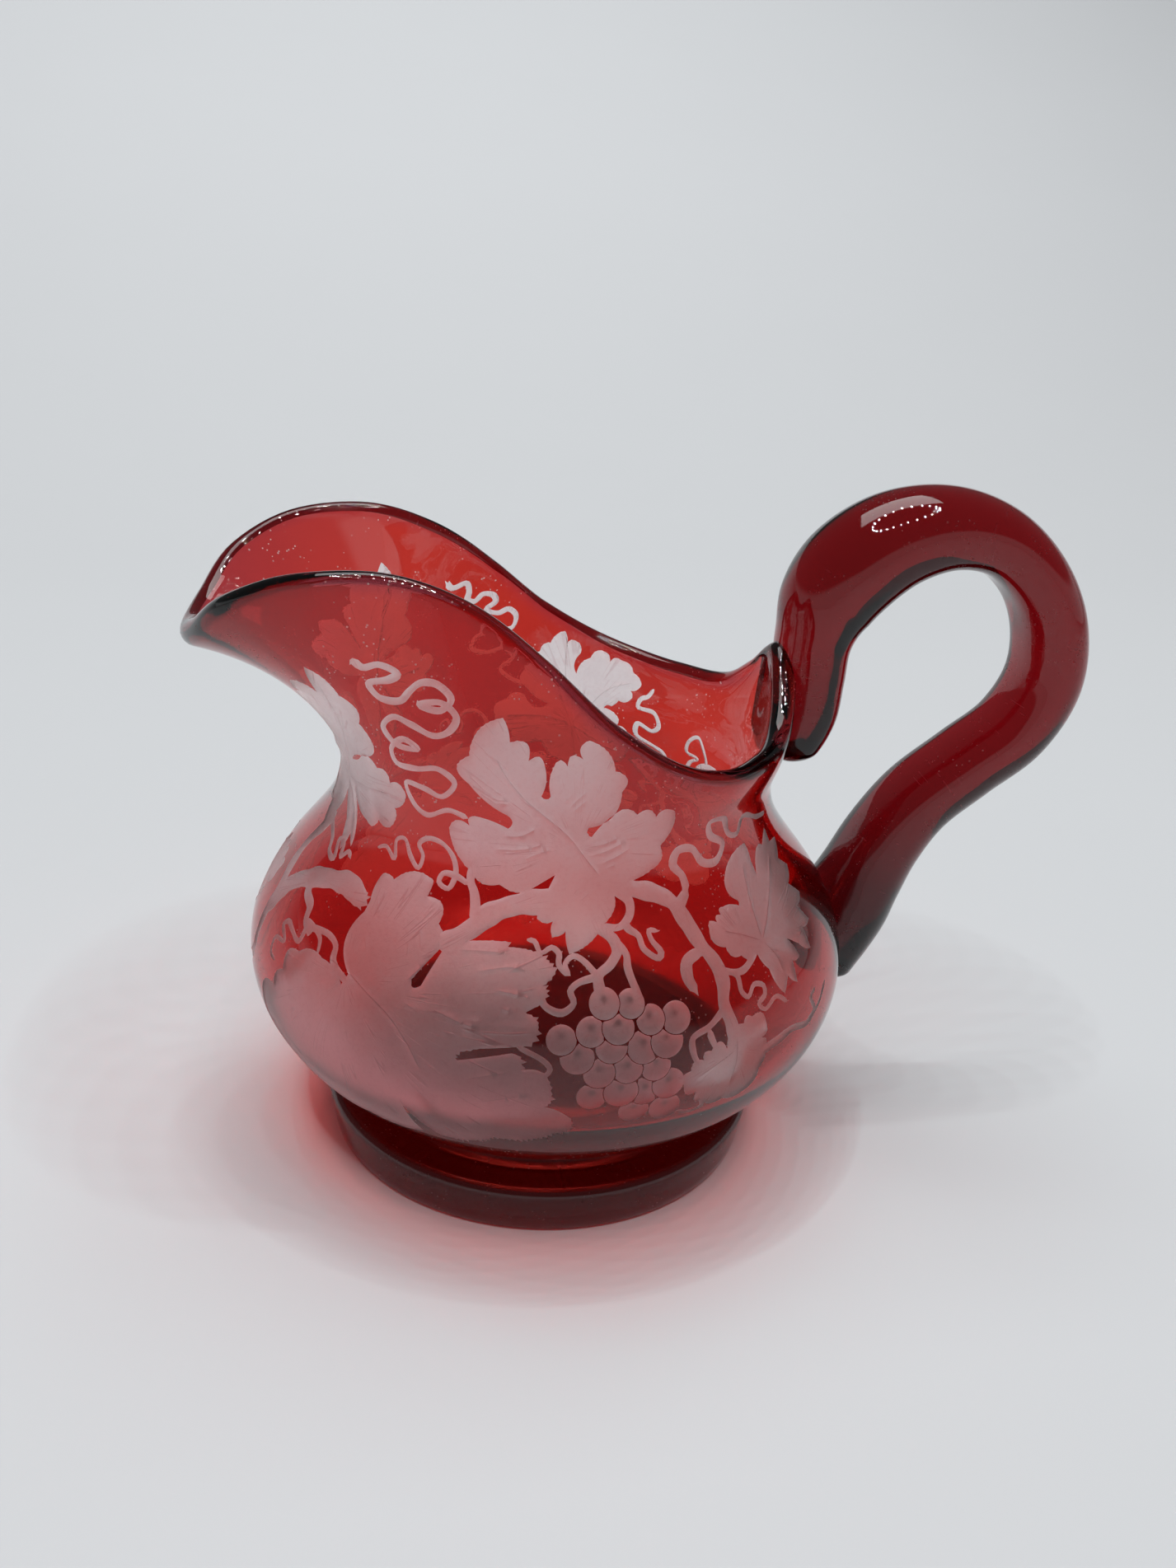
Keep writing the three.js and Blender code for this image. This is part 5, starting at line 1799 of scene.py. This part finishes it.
@dataclass
class Handle:
    """The applied handle: an oval rod from a rounded tail on the neck, over the rim, round to a dab on the belly."""

    form: BowlForm
    sides: int = 72
    stations: int = 260
    inner_flatness: float = 2.9
    sink: float = 0.2
    room_columns: int = 360
    room_rows: tuple[int, int, int] = (24, 28, 30)
    room_edge: tuple[float, ...] = (18.0, 36.0, 54.0, 72.0, 90.0)
    # The leg and tail values place the painted shade, a darker ruby low on the leg and in the tail.
    leg_from: float = 36.0
    leg_top: float = 52.0
    leg_fade: float = 20.0
    tail_top: float = 70.0
    tail_fade: float = 16.0
    tail_shade: float = 0.6
    merge: float = 1e-6
    sharp_from: float = 38.0

    def build(self, effects: Effects) -> bpy.types.Object:
        """Builds and dresses the handle.

        Args:
            effects: the shared effects.

        Returns:
            The handle.
        """
        glass = HANDLE_GLASS.build(effects)
        made = new_object("handle_glass", self.spine())
        SweepTree().run(made, {"Rows": self.stations, "Columns": self.sides, "Glass": glass,
                               "Inner Flatness": self.inner_flatness})
        outwards(made.data)
        room = new_object("bowl_room", self.room())
        cut = made.modifiers.new("cut", "BOOLEAN")
        cut.operation, cut.solver, cut.object = "DIFFERENCE", "EXACT", room
        applied(made)
        bpy.data.objects.remove(room)
        finished(made.data, self.merge, blunter_than(self.sharp_from))
        made.data.materials.clear()
        made.data.materials.append(glass)
        self.paint_leg_and_tail_shade(made.data)
        return made

    def paint_leg_and_tail_shade(self, mesh: bpy.types.Mesh) -> None:
        """Notes painted shade as a darker ruby, low on the leg and in the tail on the neck, where the glass is also
        gathered thicker.
        """
        places = np.array([vertex.co for vertex in mesh.vertices]) / MM
        out, _, up = places.T
        leg = np.clip((self.leg_top - up) / self.leg_fade, 0, 1) * (out > self.leg_from)
        tail = np.clip((self.tail_top - up) / self.tail_fade, 0, 1) * (out < self.form.bowl_radius)
        note(mesh, "gathered_and_shade", np.maximum(leg, self.tail_shade * tail))

    def spine(self) -> bpy.types.Mesh:
        """The rod's middle line, with the two half sizes of its section stored at each station."""
        tongue = RIM_STATIONS[-1]
        stretches = (
            (TAIL_ON_NECK, self.form.neck_radius, self.form.neck_height),
            (BOW_OVER_RIM, self.form.neck_radius + tongue.overhang, self.form.neck_height + tongue.rise),
            (LEG_OVER_BELLY, self.form.bowl_radius, self.form.belly_height),
        )
        rods = [(station, radius, height) for group, radius, height in stretches for station in group]
        places = np.array([(radius + s.out, height + s.up) for s, radius, height in rods])
        knots, last, step = list(range(len(rods))), len(rods) - 1, 1e-3
        at = np.linspace(0, last, self.stations)
        middle = smooth_curve(places, at)
        run = smooth_curve(places, np.minimum(at + step, last)) - smooth_curve(places, np.maximum(at - step, 0))
        run /= np.linalg.norm(run, axis=1, keepdims=True)
        outside = np.stack([-run[:, 1], run[:, 0]], -1)
        from_end = np.minimum(at, last - at)
        end_round = np.sqrt(np.clip(1 - (1 - np.minimum(from_end, 1)) ** 2, 0, 1))
        depth = LevelEnded(knots, [s.depth for s, _, _ in rods]).at(at) * end_round
        width = LevelEnded(knots, [s.width for s, _, _ in rods]).at(at) * end_round
        mesh = bpy.data.meshes.new("handle")
        zero = np.zeros(len(at))
        line = np.stack([middle[:, 0], zero, middle[:, 1]], -1) * MM
        mesh.from_pydata(line.tolist(), [(i, i + 1) for i in range(len(at) - 1)], [])
        note(mesh, "middle", line)
        note(mesh, "deep", np.stack([outside[:, 0] * depth, zero, outside[:, 1] * depth], -1) * MM)
        note(mesh, "wide", np.stack([zero, width, zero], -1) * MM)
        return mesh

    def room(self) -> bpy.types.Mesh:
        """The room that the bowl takes from the handle: its outer side, sunk a little, filled inside."""
        turns = np.linspace(-math.pi, math.pi, self.room_columns, endpoint=False)
        keel, shoulder, throat = (np.linspace(start, start + 1, rows) for start, rows in enumerate(self.room_rows))
        rings = []
        for place in (*keel[:-1], *shoulder[:-1], *throat):
            point, _, normal = self.form.wall_frame(turns, np.full(len(turns), place))
            rings.append(point - normal * self.sink)
        rings += [self.form.edge_ring(turns, angle, -self.sink) for angle in self.room_edge]
        here = np.arange(len(turns))
        beside, last = np.roll(here, -1), len(rings) * len(turns)
        faces = []
        for start in range(0, last - len(turns), len(turns)):
            above = start + len(turns)
            faces += np.stack([start + here, start + beside, above + beside, above + here], -1).tolist()
        faces += np.stack([np.full(len(turns), last), beside, here], -1).tolist()
        top = last - len(turns)
        faces += np.stack([np.full(len(turns), last + 1), top + here, top + beside], -1).tolist()
        ends = [[0, 0, self.form.seat_height], [0, 0, self.form.neck_height]]
        mesh = bpy.data.meshes.new("bowl_room")
        mesh.from_pydata((np.concatenate([*rings, ends]) * MM).tolist(), [], faces)
        outwards(mesh)
        return mesh


@dataclass
class Foot:
    """The foot: a thick disc with a ground base, a fire-polished shoulder, and a neck of glass under the bowl."""

    base_radius: float = 29.1
    radius: float = 30.0
    height: float = 6.8
    chamfer: float = 0.5
    shoulder: float = 1.2
    seat_radius: float = 24.3
    seat_top: float = 8.7
    seat_fillet: float = 1.4
    seat_arris: float = 0.15
    columns: int = 240
    arc_points: int = 11
    wall_points: int = 5
    flat_points: int = 12
    merge: float = 1e-6
    sharp_from: float = 35.0

    def build(self, effects: Effects) -> bpy.types.Object:
        """Builds and dresses the foot.

        Args:
            effects: the shared effects.

        Returns:
            The foot.
        """
        glass = FOOT_GLASS.build(effects)
        outline = self.outline()
        mesh = bpy.data.meshes.new("foot")
        points = np.stack([outline[:, 0], np.zeros(len(outline)), outline[:, 1]], -1) * MM
        mesh.from_pydata(points.tolist(), [(i, i + 1) for i in range(len(points) - 1)], [])
        made = new_object("foot_glass", mesh)
        TurnTree().run(made, {"Rows": len(outline), "Columns": self.columns, "Glass": glass})
        finished(made.data, self.merge, blunter_than(self.sharp_from))
        return made

    def outline(self) -> np.ndarray:
        """The half outline, from the middle of the base out, up and in to the axis."""
        quarter = np.radians(np.linspace(0, 90, self.arc_points))
        rounded = np.stack([self.radius - self.shoulder + self.shoulder * np.cos(quarter),
                            self.height - self.shoulder + self.shoulder * np.sin(quarter)], -1)
        hollow = np.stack([self.seat_radius + self.seat_fillet * (1 - np.sin(quarter)),
                           self.height + self.seat_fillet * (1 - np.cos(quarter))], -1)
        wall = np.linspace((self.base_radius, self.chamfer), rounded[0], self.wall_points)[:-1]
        base = [(r, 0.0) for r in np.linspace(0, self.base_radius - self.chamfer, self.flat_points)]
        top = [(r, self.seat_top) for r in np.linspace(self.seat_radius - self.seat_arris, 0, self.flat_points)]
        return np.concatenate([base, wall, rounded, hollow, [(self.seat_radius, self.seat_top - self.seat_arris)], top])


@dataclass
class Studio:
    """A plain pale table under soft light, and the camera at the photograph's angle."""

    table_front: float = -0.6
    table_side: float = 2.0
    bend_start: float = 0.30
    bend_radius: float = 0.9
    bend_points: int = 14
    bend_first: float = 0.04
    backdrop_slope: float = 33.0
    backdrop_run: float = 0.27
    floor_colour: Colour = (0.58, 0.598, 0.615)
    floor_shade: float = 0.985
    floor_roughness: float = 0.7
    floor_patch_scale: float = 14.0
    sky_low: Colour = (0.48, 0.495, 0.51)
    sky_high: Colour = (0.095, 0.098, 0.102)
    sky_fade: tuple[float, float] = (0.10, 0.20)
    ring_lamps: int = 24
    ring_place: Point = (0.05, -0.42, 1.5)
    ring_radius: float = 0.50
    ring_lamp_size: float = 0.022
    ring_power: float = 20.5
    wash_place: Point = (0.0, 0.5, 1.5)
    wash_target: Point = (0.0, 1.1, 0.2)
    wash_size: float = 1.0
    wash_power: float = 11.0
    camera_place: Point = (-31.49, -169.40, 120.02)
    camera_right: Point = (0.9813, -0.1821, 0.0616)
    camera_up: Point = (0.0129, 0.3819, 0.9242)
    lens: float = 32.16
    sensor: float = 36.0
    clip_start: float = 0.01

    def build(self) -> None:
        """Sets the table, the light and the camera."""
        self.table()
        self.light()
        self.camera()
        bpy.context.scene.view_settings.view_transform = "Standard"

    def table(self) -> None:
        """The floor, which rises gently behind into a backdrop."""
        start, bend, run = self.bend_start, self.bend_radius, self.backdrop_run
        slope = math.radians(self.backdrop_slope)
        profile = [(self.table_front, 0.0), (start, 0.0)]
        angles = np.linspace(self.bend_first, slope, self.bend_points)
        profile += [(start + bend * math.sin(a), bend - bend * math.cos(a)) for a in angles]
        profile += [(profile[-1][0] + run, profile[-1][1] + run * math.tan(slope))]
        vertices = [(x, y, z) for y, z in profile for x in (-self.table_side, self.table_side)]
        faces = [(2 * i, 2 * i + 1, 2 * i + 3, 2 * i + 2) for i in range(len(profile) - 1)]
        mesh = bpy.data.meshes.new("table")
        mesh.from_pydata(vertices, [], faces)
        for polygon in mesh.polygons:
            polygon.use_smooth = True
        made = new_object("table", mesh)
        material, kit, shader = principled("table_white")
        where = kit.place()
        low = tuple(c * self.floor_shade for c in self.floor_colour)
        colour = kit.blend(kit.noise(where, self.floor_patch_scale, 3.0), (*low, 1), (*self.floor_colour, 1))
        kit.feed(shader, {"Base Color": colour, "Roughness": self.floor_roughness})
        mesh.materials.append(material)

    def lamp(self, name: str, place: Point, size: float, power: float, target: Point = (0, 0, 0.04)) -> None:
        """A square soft lamp that faces the jug.

        Args:
            name: its name.
            place: where it hangs, in metres.
            size: its side, in metres.
            power: its power, in watts.
            target: what it faces.
        """
        data = bpy.data.lights.new(name, "AREA")
        data.size, data.energy = size, power
        made = new_object(name, data)
        made.location = place
        made.rotation_euler = (Vector(target) - Vector(place)).to_track_quat("-Z", "Y").to_euler()

    def light(self) -> None:
        """A ring of small lamps overhead, a lamp on the backdrop, and a sky that is pale low down and dim overhead."""
        world = bpy.data.worlds.new("studio")
        bpy.context.scene.world = world
        world.use_nodes = True
        kit = NodeKit(world.node_tree)
        toward = kit.add("ShaderNodeTexCoord").outputs["Generated"]
        height = kit.add("ShaderNodeSeparateXYZ", {"Vector": toward}).outputs["Z"]
        sky = kit.blend(kit.ramp(height, *self.sky_fade), (*self.sky_low, 1), (*self.sky_high, 1))
        kit.feed(world.node_tree.nodes["Background"], {"Color": sky, "Strength": 1.0})
        for number in range(self.ring_lamps):
            angle = 2 * math.pi * number / self.ring_lamps
            x, y, z = self.ring_place
            place = (x + self.ring_radius * math.cos(angle), y + self.ring_radius * math.sin(angle), z)
            self.lamp(f"ring_{number:02d}", place, self.ring_lamp_size, self.ring_power / self.ring_lamps)
        self.lamp("backdrop_wash", self.wash_place, self.wash_size, self.wash_power, self.wash_target)

    def camera(self) -> None:
        """The camera of the photograph."""
        data = bpy.data.cameras.new("camera")
        data.sensor_fit, data.sensor_height, data.sensor_width = "VERTICAL", self.sensor, self.sensor
        data.lens, data.clip_start = self.lens, self.clip_start
        made = new_object("camera", data)
        right, up = Vector(self.camera_right).normalized(), Vector(self.camera_up).normalized()
        back = right.cross(up)
        turned = Matrix((right, up, back)).transposed().to_4x4()
        made.matrix_world = Matrix.Translation(Vector(self.camera_place) * MM) @ turned
        bpy.context.scene.camera = made


def main() -> None:
    """Builds the jug and the studio, and reports each piece."""
    logging.basicConfig(level=logging.INFO, format="%(name)s: %(message)s")
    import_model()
    effects = Effects()
    form = BowlForm()
    pieces = (
        ("bowl", Bowl(form, Wheel(form)).build(effects), "ruby_glass"),
        ("foot", Foot().build(effects), "deep_ruby_glass"),
        ("handle", Handle(form).build(effects), "handle_glass"),
    )
    for node, made, slot in pieces:
        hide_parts(node)
        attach(made, "root")
        log.info("%s: %d faces", made.name, len(made.data.polygons))
    Studio().build()


if __name__ == "__main__":
    main()
